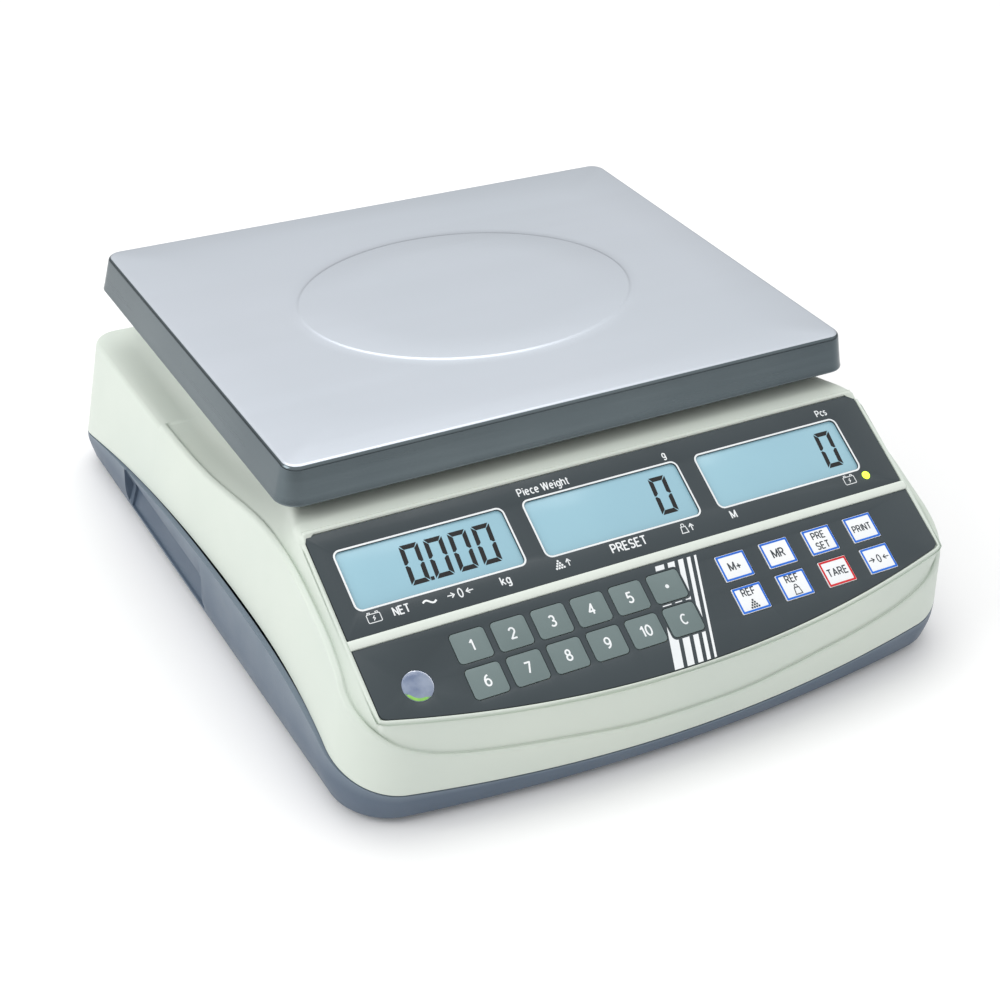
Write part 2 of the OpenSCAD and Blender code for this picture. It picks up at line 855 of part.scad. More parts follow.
module pan_support() {
    color([0.7, 0.71, 0.72])
    difference() {
        union() {
            for (s = [-1, 1])
                translate([0, pan_y + s * pad_y, arm_z + arm_h / 2])
                    cube([2 * pad_x, arm_w, arm_h], center = true);
            for (x = [-pad_x, pad_x])
                translate([x, pan_y, arm_z + arm_h / 2])
                    cube([arm_w, 2 * pad_y, arm_h], center = true);
            translate([0, pan_y, arm_z + arm_h / 2])
                cube([2 * pad_x, cell_w + 14, arm_h], center = true);
            for (sx = [-1, 1], sy = [-1, 1])
                translate([sx * pad_x, pan_y + sy * pad_y, arm_z])
                    cylinder(r = post_r, h = pad_z - arm_z);
        }
        for (sy = [-1, 1])
            translate([hub_x, pan_y + sy * bolt_pitch / 2, arm_z - 1])
                cylinder(r = bolt_hole_r, h = arm_h + 2);
        for (sx = [-1, 1], sy = [-1, 1])
            translate([sx * pad_x, pan_y + sy * pad_y, arm_z - 1]) cylinder(r = 3, h = tall);
    }
}

module pan_pads() {
    color([0.12, 0.12, 0.13])
    for (sx = [-1, 1], sy = [-1, 1])
        translate([sx * pad_x, pan_y + sy * pad_y, 0]) {
            translate([0, 0, pad_z]) cylinder(r = pad_r, h = pad_h);
            translate([0, 0, arm_z + 2]) cylinder(r = pad_plug_r, h = pad_z - arm_z - 2 + 0.1);
        }
}

// The pan's skin as a closed block: a flared skirt under a flat top.
module pan_block(inset, z0, z1) {
    w = pan_w - 2 * inset;
    d = pan_d - 2 * inset;
    r = pan_corner_r - inset;
    flare = 2 * pan_flare;
    translate([0, pan_y, 0])
        hull() {
            translate([0, 0, z1 - 2]) linear_extrude(1) round_rect(w, d, r);
            translate([0, 0, z1 - 1]) linear_extrude(1) round_rect(w - 3, d - 3, r - 1.5);
            translate([0, 0, z0])
                linear_extrude(eps) round_rect(w + flare, d + flare, r + pan_flare);
        }
}

module pan() {
    color([0.78, 0.8, 0.82]) {
        difference() {
            pan_block(0, pan_top_z - pan_rim_h, pan_top_z);
            pan_block(pan_sheet, pan_top_z - pan_rim_h - eps, pan_top_z - pan_sheet);
        }
        translate([0, pan_y, pan_top_z - eps]) linear_extrude(oval_h) oval_plan(0);
    }
}

// Levelling foot
module foot_pad(sx, sy) {
    color([0.1, 0.1, 0.1])
    translate([sx * feet_x / 2, feet_mid_y + sy * feet_y / 2, 0])
        difference() {
            cylinder(r = foot_pad_r, h = foot_pad_h);
            translate([0, 0, 1.2]) cylinder(r = foot_pin_r + foot_clear, h = foot_pad_h);
        }
}

module foot_screw(sx, sy) {
    color("silver")
    translate([sx * feet_x / 2, feet_mid_y + sy * feet_y / 2, 0]) {
        translate([0, 0, 1.3]) cylinder(r = foot_pin_r, h = foot_pad_h - 1.3 + 0.1);
        translate([0, 0, foot_pad_h + 0.05]) cylinder(r = foot_flange_r, h = foot_flange_h, $fn = 32);
        translate([0, 0, foot_pad_h + 0.05])
            cylinder(r = foot_thread_r - foot_clear, h = foot_flange_h + foot_stud_l);
    }
}

module power_switch_body() {
    color([0.12, 0.12, 0.13])
    translate([switch_x, switch_y, 0])
        difference() {
            union() {
                translate([0, 0, base_z - switch_flange])
                    linear_extrude(switch_flange) square([switch_l, switch_w], center = true);
                translate([0, 0, base_z - switch_flange])
                    linear_extrude(switch_body_h)
                        square([switch_l - 2, switch_w - 2], center = true);
            }
            translate([0, 0, -1])
                linear_extrude(rocker_axis_z + 4 + 1)
                    square([rocker_l + 2, rocker_w + 0.6], center = true);
            translate([0, switch_w, rocker_axis_z])
                rotate([90, 0, 0]) cylinder(r = rocker_pin_r + foot_clear, h = 2 * switch_w);
        }
}

module power_rocker() {
    color([0.2, 0.2, 0.21])
    translate([switch_x, switch_y, rocker_axis_z])
        rotate([0, -rocker_tilt, 0]) {
            translate([0, rocker_w / 2, 0])
                rotate([90, 0, 0])
                    linear_extrude(rocker_w)
                        polygon([[-rocker_l / 2, -rocker_face], [0, -rocker_face + 1.2],
                            [rocker_l / 2, -rocker_face], [rocker_l / 2 - 1, -2], [3, 2.2],
                            [-3, 2.2], [-rocker_l / 2 + 1, -2]]);
            translate([0, rocker_w / 2 + 1.2, 0])
                rotate([90, 0, 0]) cylinder(r = rocker_pin_r, h = rocker_w + 2.4);
        }
}

module rear_sockets_cut() {
    translate([serial_x, rear_y, socket_z]) {
        cube([serial_w, 40, serial_h], center = true);
        for (s = [-1, 1])
            translate([s * serial_screw_pitch / 2, 20, 0])
                rotate([90, 0, 0]) cylinder(r = serial_screw_r, h = 40);
    }
    translate([dc_x, rear_y + 20, socket_z]) rotate([90, 0, 0]) cylinder(r = dc_r + 0.1, h = 40);
}

module serial_socket() {
    color([0.7, 0.7, 0.72])
    translate([serial_x, socket_wall_y, socket_z]) {
        difference() {
            union() {
                translate([0, -0.9, 0]) cube([serial_w + 14, 1.6, serial_h + 2], center = true);
                translate([0, 1.5, 0]) cube([serial_w - 1, 6, serial_h - 1], center = true);
                translate([0, -6, 0]) cube([serial_w - 1, 9, serial_h - 1], center = true);
            }
            translate([0, 3, 0]) cube([serial_w - 3, 9, serial_h - 3], center = true);
        }
    }
}

module dc_socket() {
    color([0.15, 0.15, 0.16])
    translate([dc_x, socket_wall_y, socket_z])
        rotate([90, 0, 0])
            difference() {
                translate([0, 0, -4.5]) cylinder(r = dc_r, h = 16);
                translate([0, 0, -5]) cylinder(r = dc_bore_r, h = 11);
            }
}

// A round lead through a list of points.
module lead(points, r) {
    for (i = [0:len(points) - 2]) {
        d = points[i + 1] - points[i];
        translate(points[i]) {
            rotate([0, acos(d[2] / norm(d)), atan2(d[1], d[0])])
                cylinder(r = r, h = norm(d), $fn = 16);
            if (i > 0) sphere(1.06 * r, $fn = 16);
        }
    }
}

module cell_cable() {
    color([0.25, 0.25, 0.27])
    lead(cell_cable_route, 2);
}

module battery_leads() {
    color([0.7, 0.1, 0.1])
    for (s = [-1, 1])
        lead([for (p = battery_lead_route) [p[0] + s * p[3], p[1], p[2]]], 1.1);
}

module display_ribbon() {
    color([0.6, 0.6, 0.62])
    translate([ribbon_x - ribbon_w / 2, 0, 0])
        rotate([90, 0, 90])
            linear_extrude(ribbon_w)
                polygon(concat(
                    [for (p = ribbon_route) [p[0] - 0.4, p[1]]],
                    [for (i = [len(ribbon_route) - 1:-1:0])
                        [ribbon_route[i][0] + 0.4, ribbon_route[i][1]]]));
}

base_housing();
top_cover();
screws();
chassis_frame();
load_cell();
fixed_end_bolts();
overload_stop();
display_overlay();
keypad_overlay();
keypad_circuit();
key_domes();
lcd_panels();
lcd_backlights();
display_board();
status_led();
level_window();
level_vial();
main_board();
battery();
battery_door();
power_switch_body();
power_rocker();
serial_socket();
dc_socket();
cell_cable();
display_ribbon();
battery_leads();
cell_spacer();
platform_bolts();
pan_support();
pan_pads();
pan();
foot_pad(-1, -1);  // foot_pad_front_left
foot_pad(1, -1);  // foot_pad_front_right
foot_pad(-1, 1);  // foot_pad_rear_left
foot_pad(1, 1);  // foot_pad_rear_right
foot_screw(-1, -1);  // foot_screw_front_left
foot_screw(1, -1);  // foot_screw_front_right
foot_screw(-1, 1);  // foot_screw_rear_left
foot_screw(1, 1);  // foot_screw_rear_right
number_key(0);  // key_1
number_key(1);  // key_2
number_key(2);  // key_3
number_key(3);  // key_4
number_key(4);  // key_5
number_key(5);  // key_point
number_key(6);  // key_6
number_key(7);  // key_7
number_key(8);  // key_8
number_key(9);  // key_9
number_key(10);  // key_10
number_key(11);  // key_clear
function_key(0);  // key_memory_add
function_key(1);  // key_memory_recall
function_key(2);  // key_preset
function_key(3);  // key_print
function_key(4);  // key_ref_count
function_key(5);  // key_ref_weight
function_key(6);  // key_tare
function_key(7);  // key_zero
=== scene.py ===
import bpy
import bmesh
import json
import math
from mathutils import Matrix, Vector
from mathutils.geometry import delaunay_2d_cdt


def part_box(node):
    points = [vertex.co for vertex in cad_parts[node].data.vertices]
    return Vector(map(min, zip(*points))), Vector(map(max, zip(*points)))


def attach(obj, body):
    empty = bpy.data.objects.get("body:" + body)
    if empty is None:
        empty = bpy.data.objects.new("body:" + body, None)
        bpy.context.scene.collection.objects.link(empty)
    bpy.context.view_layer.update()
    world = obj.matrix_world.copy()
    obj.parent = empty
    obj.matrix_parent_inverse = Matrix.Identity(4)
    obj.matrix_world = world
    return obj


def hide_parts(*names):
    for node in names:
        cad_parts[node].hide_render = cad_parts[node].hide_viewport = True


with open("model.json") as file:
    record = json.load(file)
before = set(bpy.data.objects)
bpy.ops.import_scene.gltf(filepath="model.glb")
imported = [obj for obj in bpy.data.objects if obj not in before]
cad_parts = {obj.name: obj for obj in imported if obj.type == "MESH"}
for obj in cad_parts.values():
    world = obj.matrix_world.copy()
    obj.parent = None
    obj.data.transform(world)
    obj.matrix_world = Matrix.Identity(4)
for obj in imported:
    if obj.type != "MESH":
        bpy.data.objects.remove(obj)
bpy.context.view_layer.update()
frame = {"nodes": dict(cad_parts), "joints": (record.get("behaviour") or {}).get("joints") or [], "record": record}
mm = 0.001

# camera
cameraLook = {
    "place": (-0.40837, -0.66676, 0.53842),
    "right": (0.87680, -0.47883, 0.04395),
    "up": (0.23039, 0.49859, 0.83566),
    "lens": 66.14,
    "shift": (0.0348, -0.0019),
}


def makeCamera(look):
    data = bpy.data.cameras.new("scaleCamera")
    data.lens = look["lens"]
    data.sensor_width = 36
    data.shift_x, data.shift_y = look["shift"]
    data.clip_end = 50
    camera = bpy.data.objects.new("scaleCamera", data)
    right, up = Vector(look["right"]).normalized(), Vector(look["up"]).normalized()
    back = right.cross(up).normalized()
    turn = Matrix((right, back.cross(right), back)).transposed().to_4x4()
    camera.matrix_world = Matrix.Translation(look["place"]) @ turn
    bpy.context.scene.collection.objects.link(camera)
    bpy.context.scene.camera = camera


makeCamera(cameraLook)
print("camera set")

# The panel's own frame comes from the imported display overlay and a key's axis.
pressAxis = next(j["axis"] for j in frame["joints"] if j["name"] == "key_1_press")
tilt = math.atan2(pressAxis[1], -pressAxis[2])
overlayLow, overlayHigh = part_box("display_overlay")
overlayThick = 1.3 * mm
panelY = overlayLow.y
displayLong = ((overlayHigh.y - overlayLow.y) - overlayThick * math.sin(tilt)) / math.cos(tilt)
panelZ = overlayHigh.z - displayLong * math.sin(tilt)
overlayHalf = overlayHigh.x
panelFrame = Matrix.Translation((0, panelY, panelZ)) @ Matrix.Rotation(tilt, 4, "X")


def panelAt(y):
    return panelZ + math.tan(tilt) * (y - panelY)


def onPanel(x, u, w=0.0):
    return panelFrame @ Vector((x, u, w))


# mesh helpers
def newPiece(name, bm, body, replaced=(), materials=(), smooth=35):
    mesh = bpy.data.meshes.new(name)
    bm.to_mesh(mesh)
    bm.free()
    piece = bpy.data.objects.new(name, mesh)
    bpy.context.scene.collection.objects.link(piece)
    for m in materials:
        mesh.materials.append(m)
    finishPiece(piece, body, replaced, smooth)
    return piece


def finishPiece(piece, body, replaced=(), smooth=35):
    mesh = piece.data
    if smooth:
        mesh.shade_smooth()
        if smooth < 180:
            mesh.set_sharp_from_angle(angle=math.radians(smooth))
    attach(piece, body)
    if replaced:
        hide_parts(*replaced)


def bakeModifiers(piece):
    graph = bpy.context.evaluated_depsgraph_get()
    made = bpy.data.meshes.new_from_object(piece.evaluated_get(graph))
    piece.modifiers.clear()
    piece.data = made


# adds another object's mesh to bm and removes the object
def mergeFrom(bm, piece, materialIndex=None):
    start = len(bm.faces)
    bm.from_mesh(piece.data)
    bm.faces.ensure_lookup_table()
    if materialIndex is not None:
        for f in bm.faces[start:]:
            f.material_index = materialIndex
    bpy.data.objects.remove(piece)


def roundedRect(w, h, r, n=5, centre=(0, 0)):
    points = []
    for cx, cy, a0 in ((w / 2 - r, h / 2 - r, 0), (-w / 2 + r, h / 2 - r, 90),
                       (-w / 2 + r, -h / 2 + r, 180), (w / 2 - r, -h / 2 + r, 270)):
        for i in range(n + 1):
            a = math.radians(a0 + 90 * i / n)
            points.append((centre[0] + cx + r * math.cos(a), centre[1] + cy + r * math.sin(a)))
    return points


def ringPoints(r, n=32, centre=(0, 0), stretch=1.0):
    return [(centre[0] + r * math.cos(2 * math.pi * i / n),
             centre[1] + r * stretch * math.sin(2 * math.pi * i / n)) for i in range(n)]


def signedArea(loop):
    return sum(a[0] * b[1] - b[0] * a[1] for a, b in zip(loop, loop[1:] + loop[:1])) / 2


# moves every corner of a closed loop inward (to its left when the loop turns anticlockwise)
def insetLoop(loop, d):
    n = len(loop)
    out = []
    for i in range(n):
        a, b, c = Vector(loop[i - 1]), Vector(loop[i]), Vector(loop[(i + 1) % n])
        e1, e2 = (b - a).normalized(), (c - b).normalized()
        n1, n2 = Vector((-e1.y, e1.x)), Vector((-e2.y, e2.x))
        m = n1 + n2
        k = max(m.dot(n1), 0.35)
        out.append(tuple(b + m * (d / k)))
    return out


# a closed flat plate with holes; its top edges are rounded by edge
def plateMesh(bm, outline, holes, zTop, zBottom, edge=0.0, place=None, materialIndex=0, steps=2):
    place = place or Matrix.Identity(4)
    loops = [outline] + list(holes)
    loops = [lp if (signedArea(lp) > 0) == (k == 0) else lp[::-1] for k, lp in enumerate(loops)]
    rings = []
    for lp in loops:
        levels = [(0.0, zBottom), (0.0, zTop - edge)]
        if edge > 0:
            for i in range(1, steps + 1):
                a = math.pi / 2 * i / steps
                levels.append((edge * (1 - math.cos(a)), zTop - edge + edge * math.sin(a)))
        stack = []
        for d, z in levels:
            pts = insetLoop(lp, d) if d else lp
            stack.append([bm.verts.new(place @ Vector((x, y, z))) for x, y in pts])
        rings.append((lp, levels[-1][0], stack))
        for low, high in zip(stack, stack[1:]):
            for i in range(len(low)):
                j = (i + 1) % len(low)
                f = bm.faces.new((low[i], low[j], high[j], high[i]))
                f.material_index = materialIndex
    for level in (0, -1):
        coords, edges, verts = [], [], []
        for lp, d, stack in rings:
            pts = insetLoop(lp, d) if (level == -1 and d) else lp
            start = len(coords)
            coords += [Vector(p) for p in pts]
            verts += stack[level]
            n = len(pts)
            edges += [(start + i, start + (i + 1) % n) for i in range(n)]
        made = delaunay_2d_cdt(coords, edges, [], 1, 1e-9)
        for tri in made[2]:
            if any(not made[3][k] for k in tri):
                continue
            ids = [made[3][k][0] for k in tri]
            mid = sum((coords[k] for k in ids), Vector((0, 0))) / 3
            if not insideLoops(mid, [coordsOf(r, level) for r in rings]):
                continue
            vs = [verts[k] for k in ids]
            if len(set(vs)) < 3:
                continue
            if level == 0:
                vs = vs[::-1]
            try:
                f = bm.faces.new(vs)
                f.material_index = materialIndex
            except ValueError:
                pass


def coordsOf(ring, level):
    loop, inset = ring[:2]
    return insetLoop(loop, inset) if (level == -1 and inset) else loop


def insideLoops(p, loops):
    inside = False
    for lp in loops:
        n = len(lp)
        for i in range(n):
            (x1, y1), (x2, y2) = lp[i], lp[(i + 1) % n]
            if (y1 > p[1]) != (y2 > p[1]) and p[0] < (x2 - x1) * (p[1] - y1) / (y2 - y1) + x1:
                inside = not inside
    return inside


# turns an (r, z) profile about Z; ends on the axis close to a single vertex
def lathe(bm, profile, place=None, n=48, materialIndex=0):
    place = place or Matrix.Identity(4)
    rings = []
    for r, z in profile:
        if r < 1e-9:
            rings.append([bm.verts.new(place @ Vector((0, 0, z)))])
        else:
            rings.append([bm.verts.new(place @ Vector((r * math.cos(2 * math.pi * i / n),
                                                       r * math.sin(2 * math.pi * i / n), z)))
                          for i in range(n)])
    for a, b in zip(rings, rings[1:]):
        for i in range(n):
            j = (i + 1) % n
            if len(a) == 1 and len(b) == 1:
                continue
            if len(a) == 1:
                vs = (a[0], b[j], b[i])
            elif len(b) == 1:
                vs = (a[i], a[j], b[0])
            else:
                vs = (a[i], a[j], b[j], b[i])
            f = bm.faces.new(vs)
            f.material_index = materialIndex


def arcPoints(cx, cy, rx, ry, a0, a1, n=10):
    return [(cx + rx * math.cos(math.radians(a0 + (a1 - a0) * i / n)),
             cy + ry * math.sin(math.radians(a0 + (a1 - a0) * i / n))) for i in range(n + 1)]


def roundLoop(cx, cy, rx, ry):
    return "loop", arcPoints(cx, cy, rx, ry, 0, 336, 14)


six = [roundLoop(0.3, 0.31, 0.26, 0.31), arcPoints(0.45, 0.42, 0.41, 0.56, 88, 185)]
nine = [(form[0], [(0.6 - x, 1 - y) for x, y in form[1]]) if form[0] == "loop"
        else [(0.6 - x, 1 - y) for x, y in form] for form in six]
# printed letters and figures as strokes in a box one high
letterForms = {
    "0": [roundLoop(0.3, 0.5, 0.27, 0.5)], "1": [[(0.06, 0.76), (0.3, 1), (0.3, 0)]],
    "2": [arcPoints(0.3, 0.72, 0.26, 0.28, 165, -35) + [(0.04, 0), (0.58, 0)]],
    "3": [arcPoints(0.28, 0.745, 0.23, 0.255, 150, -80) + arcPoints(0.28, 0.255, 0.27, 0.255, 80, -150)],
    "4": [[(0.43, 0), (0.43, 1), (0.02, 0.3), (0.62, 0.3)]],
    "5": [[(0.53, 1), (0.13, 1), (0.08, 0.53)] + arcPoints(0.29, 0.31, 0.27, 0.31, 125, -150)],
    "6": six, "7": [[(0.04, 1), (0.57, 1), (0.22, 0)]],
    "8": [roundLoop(0.3, 0.76, 0.21, 0.24), roundLoop(0.3, 0.26, 0.26, 0.26)], "9": nine,
    "A": [[(0, 0), (0.33, 1), (0.66, 0)], [(0.12, 0.34), (0.54, 0.34)]],
    "C": [arcPoints(0.36, 0.5, 0.33, 0.5, 48, 312, 14)],
    "E": [[(0.5, 1), (0, 1), (0, 0), (0.52, 0)], [(0, 0.52), (0.45, 0.52)]],
    "F": [[(0.5, 1), (0, 1), (0, 0)], [(0, 0.5), (0.42, 0.5)]],
    "I": [[(0.05, 0), (0.05, 1)]], "M": [[(0, 0), (0, 1), (0.37, 0.12), (0.74, 1), (0.74, 0)]],
    "N": [[(0, 0), (0, 1), (0.56, 0), (0.56, 1)]],
    "P": [[(0, 0), (0, 1), (0.28, 1)] + arcPoints(0.3, 0.73, 0.23, 0.27, 80, -80)
          + [(0.28, 0.46), (0, 0.46)]],
    "R": [[(0, 0), (0, 1), (0.28, 1)] + arcPoints(0.3, 0.74, 0.23, 0.26, 80, -80)
          + [(0.28, 0.48), (0, 0.48)], [(0.3, 0.48), (0.56, 0)]],
    "S": [arcPoints(0.3, 0.75, 0.25, 0.25, 25, 262) + arcPoints(0.3, 0.25, 0.27, 0.25, 82, -155)],
    "T": [[(0, 1), (0.6, 1)], [(0.3, 1), (0.3, 0)]],
    "W": [[(0, 1), (0.2, 0), (0.44, 1), (0.68, 0), (0.88, 1)]],
    "+": [[(0, 0.4), (0.56, 0.4)], [(0.28, 0.68), (0.28, 0.12)]],
    "c": [arcPoints(0.26, 0.36, 0.24, 0.36, 50, 310)],
    "e": [[(0.04, 0.38), (0.46, 0.38)], arcPoints(0.25, 0.36, 0.24, 0.36, 5, 310)],
    "g": [roundLoop(0.24, 0.38, 0.22, 0.34), [(0.47, 0.72), (0.47, -0.08)]
          + arcPoints(0.25, -0.1, 0.22, 0.2, -10, -150)],
    "h": [[(0, 0), (0, 1)], [(0, 0.42)] + arcPoints(0.24, 0.48, 0.22, 0.24, 165, 10) + [(0.46, 0)]],
    "i": [[(0.05, 0), (0.05, 0.72)], [(0.05, 0.88), (0.05, 1.02)]],
    "k": [[(0, 0), (0, 1)], [(0.42, 0.72), (0.02, 0.26)], [(0.16, 0.42), (0.46, 0)]],
    "s": [arcPoints(0.2, 0.54, 0.18, 0.18, 30, 262) + arcPoints(0.2, 0.18, 0.2, 0.18, 82, -150)],
    "t": [[(0.14, 0.95), (0.14, 0.14)] + arcPoints(0.26, 0.14, 0.12, 0.14, 190, 280, 4),
          [(0, 0.72), (0.32, 0.72)]],
}


# raised print: each stroke a thin closed solid standing on the plane w = 0 of place
def textMesh(bm, words, size, place, thick, materialIndex=0, wide=1.0, bold=0.0):
    high = size * 0.72
    stroke = high * 0.145 + bold * 2
    x, laid = 0.0, []
    for letter in words:
        if letter == " ":
            x += 0.34
            continue
        forms = letterForms[letter]
        points = [p for form in forms for p in (form[1] if form[0] == "loop" else form)]
        laid.append((x, forms))
        x += max(p[0] for p in points) + 0.24
    shift = (x - 0.24) / 2
    for x, forms in laid:
        for k, form in enumerate(forms):
            closed = form[0] == "loop"
            points = form[1] if closed else form
            strokeMesh(bm, [((px + x - shift) * high * wide, (py - 0.5) * high) for px,
                            py in points], stroke, place,
                       thick * (1 + 0.04 * k), materialIndex, closed)


# a flat printed line along points, parted where it turns sharply
def strokeMesh(bm, points, width, place, thick, materialIndex=0, closed=False):
    if not closed:
        for i in range(1, len(points) - 1):
            a, b, c = Vector(points[i - 1]), Vector(points[i]), Vector(points[i + 1])
            e1, e2 = (b - a).normalized(), (c - b).normalized()
            if e1.dot(e2) < 0.55:
                first = list(points[:i]) + [tuple(b + e1 * width * 0.3)]
                second = [tuple(b - e2 * width * 0.3)] + list(points[i + 1:])
                strokeMesh(bm, first, width, place, thick, materialIndex)
                strokeMesh(bm, second, width, place, thick * 1.03, materialIndex)
                return
    n = len(points)
    left, right = [], []
    for i in range(n):
        a = Vector(points[i - 1] if (i or closed) else points[i])
        b = Vector(points[i])
        c = Vector(points[(i + 1) % n] if (i < n - 1 or closed) else points[i])
        e1 = (b - a).normalized() if (b - a).length else (c - b).normalized()
        e2 = (c - b).normalized() if (c - b).length else e1
        m = Vector((-e1.y - e2.y, e1.x + e2.x))
        m = m / max(m.length_squared / 2, 0.5)
        left.append(b + m * width / 2)
        right.append(b - m * width / 2)
    if closed:
        outer, inner = [tuple(p) for p in right], [tuple(p) for p in left]
        if abs(signedArea(outer)) < abs(signedArea(inner)):
            outer, inner = inner, outer
        plateMesh(bm, outer, [inner], thick, 0, 0, place, materialIndex)
    else:
        plateMesh(bm, [tuple(p) for p in right + left[::-1]], [], thick, 0, 0, place, materialIndex)


def ease(a, b, t):
    t = max(0.0, min(1.0, (t - a) / (b - a)))
    return t * t * (3 - 2 * t)


# smooth value from a table of (t, value) rows
def along(table, t):
    if t <= table[0][0]:
        return table[0][1]
    for i in range(len(table) - 1):
        if t <= table[i + 1][0]:
            t0, v0 = table[i]
            t1, v1 = table[i + 1]
            tp, vp = table[max(i - 1, 0)]
            tn, vn = table[min(i + 2, len(table) - 1)]
            m0 = (v1 - vp) / max(t1 - tp, 1e-9)
            m1 = (vn - v0) / max(tn - t0, 1e-9)
            h = t1 - t0
            k = (t - t0) / h
            return ((2 * k**3 - 3 * k**2 + 1) * v0 + (k**3 - 2 * k**2 + k) * h * m0
                    + (-2 * k**3 + 3 * k**2) * v1 + (k**3 - k**2) * h * m1)
    return table[-1][1]


# a polyline with each inner corner rounded, always the same number of points
def filletPath(points, radii, n=4):
    out = [points[0]]
    for i in range(1, len(points) - 1):
        a, b, c = points[i - 1], points[i], points[i + 1]
        t1 = min(radii[i], (a - b).length * 0.48)
        t2 = min(radii[i], (c - b).length * 0.48)
        p = b + (a - b).normalized() * t1
        q = b + (c - b).normalized() * t2
        for k in range(n + 1):
            s = k / n
            out.append(p * (1 - s) ** 2 + b * 2 * s * (1 - s) + q * s * s)
    out.append(points[-1])
    return out


def scaled(points):
    return [(x * mm, y * mm) for x, y in points]


def cutWith(piece, cutter):
    mod = piece.modifiers.new("cut", "BOOLEAN")
    mod.operation = "DIFFERENCE"
    mod.solver = "EXACT"
    mod.object = cutter
    bakeModifiers(piece)
    bpy.data.objects.remove(cutter)


def looseObject(name, bm):
    mesh = bpy.data.meshes.new(name)
    bm.to_mesh(mesh)
    bm.free()
    o = bpy.data.objects.new(name, mesh)
    bpy.context.scene.collection.objects.link(o)
    return o


# housing outline, in millimetres
housingLow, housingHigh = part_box("base_housing")
halfWide = housingHigh.x / mm
frontY, rearY = housingLow.y / mm, housingHigh.y / mm
pY = panelY / mm
recessHalf = overlayHalf / mm + 0.4
outline = {"bowR": 900, "frontR": 30, "rearR": 22}
bowY = frontY + outline["bowR"]
cornerX = halfWide - outline["frontR"]
bowTurn = math.asin(cornerX / (outline["bowR"] - outline["frontR"]))
cornerY = bowY - (outline["bowR"] - outline["frontR"]) * math.cos(bowTurn)
rearX, rearCY = halfWide - outline["rearR"], rearY - outline["rearR"]
runs = [outline["bowR"] * bowTurn, outline["frontR"] * (math.pi / 2 - bowTurn), rearCY - cornerY,
        outline["rearR"] * math.pi / 2, rearX]
marks = [sum(runs[:i + 1]) for i in range(len(runs))]


# point and outward direction on the right half of the outline, s along it from the front
def planAt(s):
    if s <= marks[0]:
        a = s / outline["bowR"]
        return (Vector((outline["bowR"] * math.sin(a), bowY - outline["bowR"] * math.cos(a), 0)),
                Vector((math.sin(a), -math.cos(a), 0)))
    if s <= marks[1]:
        a = bowTurn + (s - marks[0]) / outline["frontR"]
        o = Vector((math.sin(a), -math.cos(a), 0))
        return Vector((cornerX, cornerY, 0)) + o * outline["frontR"], o
    if s <= marks[2]:
        return Vector((halfWide, cornerY + s - marks[1], 0)), Vector((1, 0, 0))
    if s <= marks[3]:
        a = (s - marks[2]) / outline["rearR"]
        o = Vector((math.cos(a), math.sin(a), 0))
        return Vector((rearX, rearCY, 0)) + o * outline["rearR"], o
    return Vector((rearX - (s - marks[3]), rearY, 0)), Vector((0, 1, 0))


def sideMark(y):
    return marks[1] + (y - cornerY)


def spread(a, b, step):
    n = max(1, round((b - a) / step))
    return [a + (b - a) * i / n for i in range(n)]


# height of the line where cover and base meet: highest at topY, lower to the rear and the front
seamLook = {"high": 43, "topY": -50, "rearDrop": 27, "frontDrop": 31, "frontCurve": 2.4}
# how far the walls lean in, from a height and over a rise
leanLook = {"side": 7.5, "sideFrom": 22, "sideOver": 50, "above": 0.05,
            "rear": 9, "rearFrom": 20, "rearOver": 54}


def seamZ(y):
    d = seamLook
    if y > d["topY"]:
        return d["high"] - d["rearDrop"] * ((y - d["topY"]) / (rearY - d["topY"])) ** 2
    fall = min(1.0, (d["topY"] - y) / (d["topY"] - frontY))
    return d["high"] - d["frontDrop"] * fall ** d["frontCurve"]


def lean(s, z):
    d = leanLook
    overTop = z - d["sideFrom"] - d["sideOver"]
    side = d["side"] * max(0, min(1, (z - d["sideFrom"]) / d["sideOver"])) + d["above"] * max(0, overTop)
    rear = d["rear"] * max(0, min(1, (z - d["rearFrom"]) / d["rearOver"]))
    toSide = ease(marks[0] - 8, marks[1] + 6, s)
    toRear = ease(marks[2] - 2, marks[3] + 2, s)
    return side * toSide * (1 - toRear) + rear * toRear


def moved(s, d, z):
    p, o = planAt(s)
    q = p - o * d
    return Vector((max(q.x, 0), q.y, z))


# top cover
coverLook = {
    "notchY": 66, "ribWide": 3.0, "stepDown": 1.9, "frontRib": 1.1, "wall": 2.2, "shelf": 73.6,
    "deckX": 126.0, "deckY": 155.5, "deckRound": 18.0, "deckRoll": 7, "shelfOut": 0.236,
    "shelfRise": 2.2, "rearRise": 3,
    "crest": [(0, 22), (30, 22.6), (70, 27), (100, 30.5), (122, 34.5), (136, 40), (152, 49), (174, 60.5),
              (186, 67.5), (201, 75.2), (223, 83.6), (240, 87.6), (259, 88.8), (277, 86.8),
              (300, 82.2), (324, 77.8), (350, 75.2), (383, 73.9)],
    "innerLip": [(-164, 0.2), (-150, 0.5), (-135, 0.9), (-118, 1.1), (-104, 0.9), (-92, 0.4), (-82, 0.1)],
    "deckEdge": [(-81.5, 147.9), (-76, 146.5), (-66, 142), (-50, 136), (-25, 129.5), (0, 126.8),
                 (30, 126)],
}
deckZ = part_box("top_cover")[1].z / mm
keypadSide = 31.5  # the keypad overlay's height at its two ends
overlaySide = keypadSide + 4.7  # with the bar above it
overlayDrop = 18.5  # how much further its middle reaches


# u of the keypad overlay's lower edge
def keypadEdge(x):
    return -overlaySide - overlayDrop * (1 - (x / (overlayHalf / mm)) ** 2)


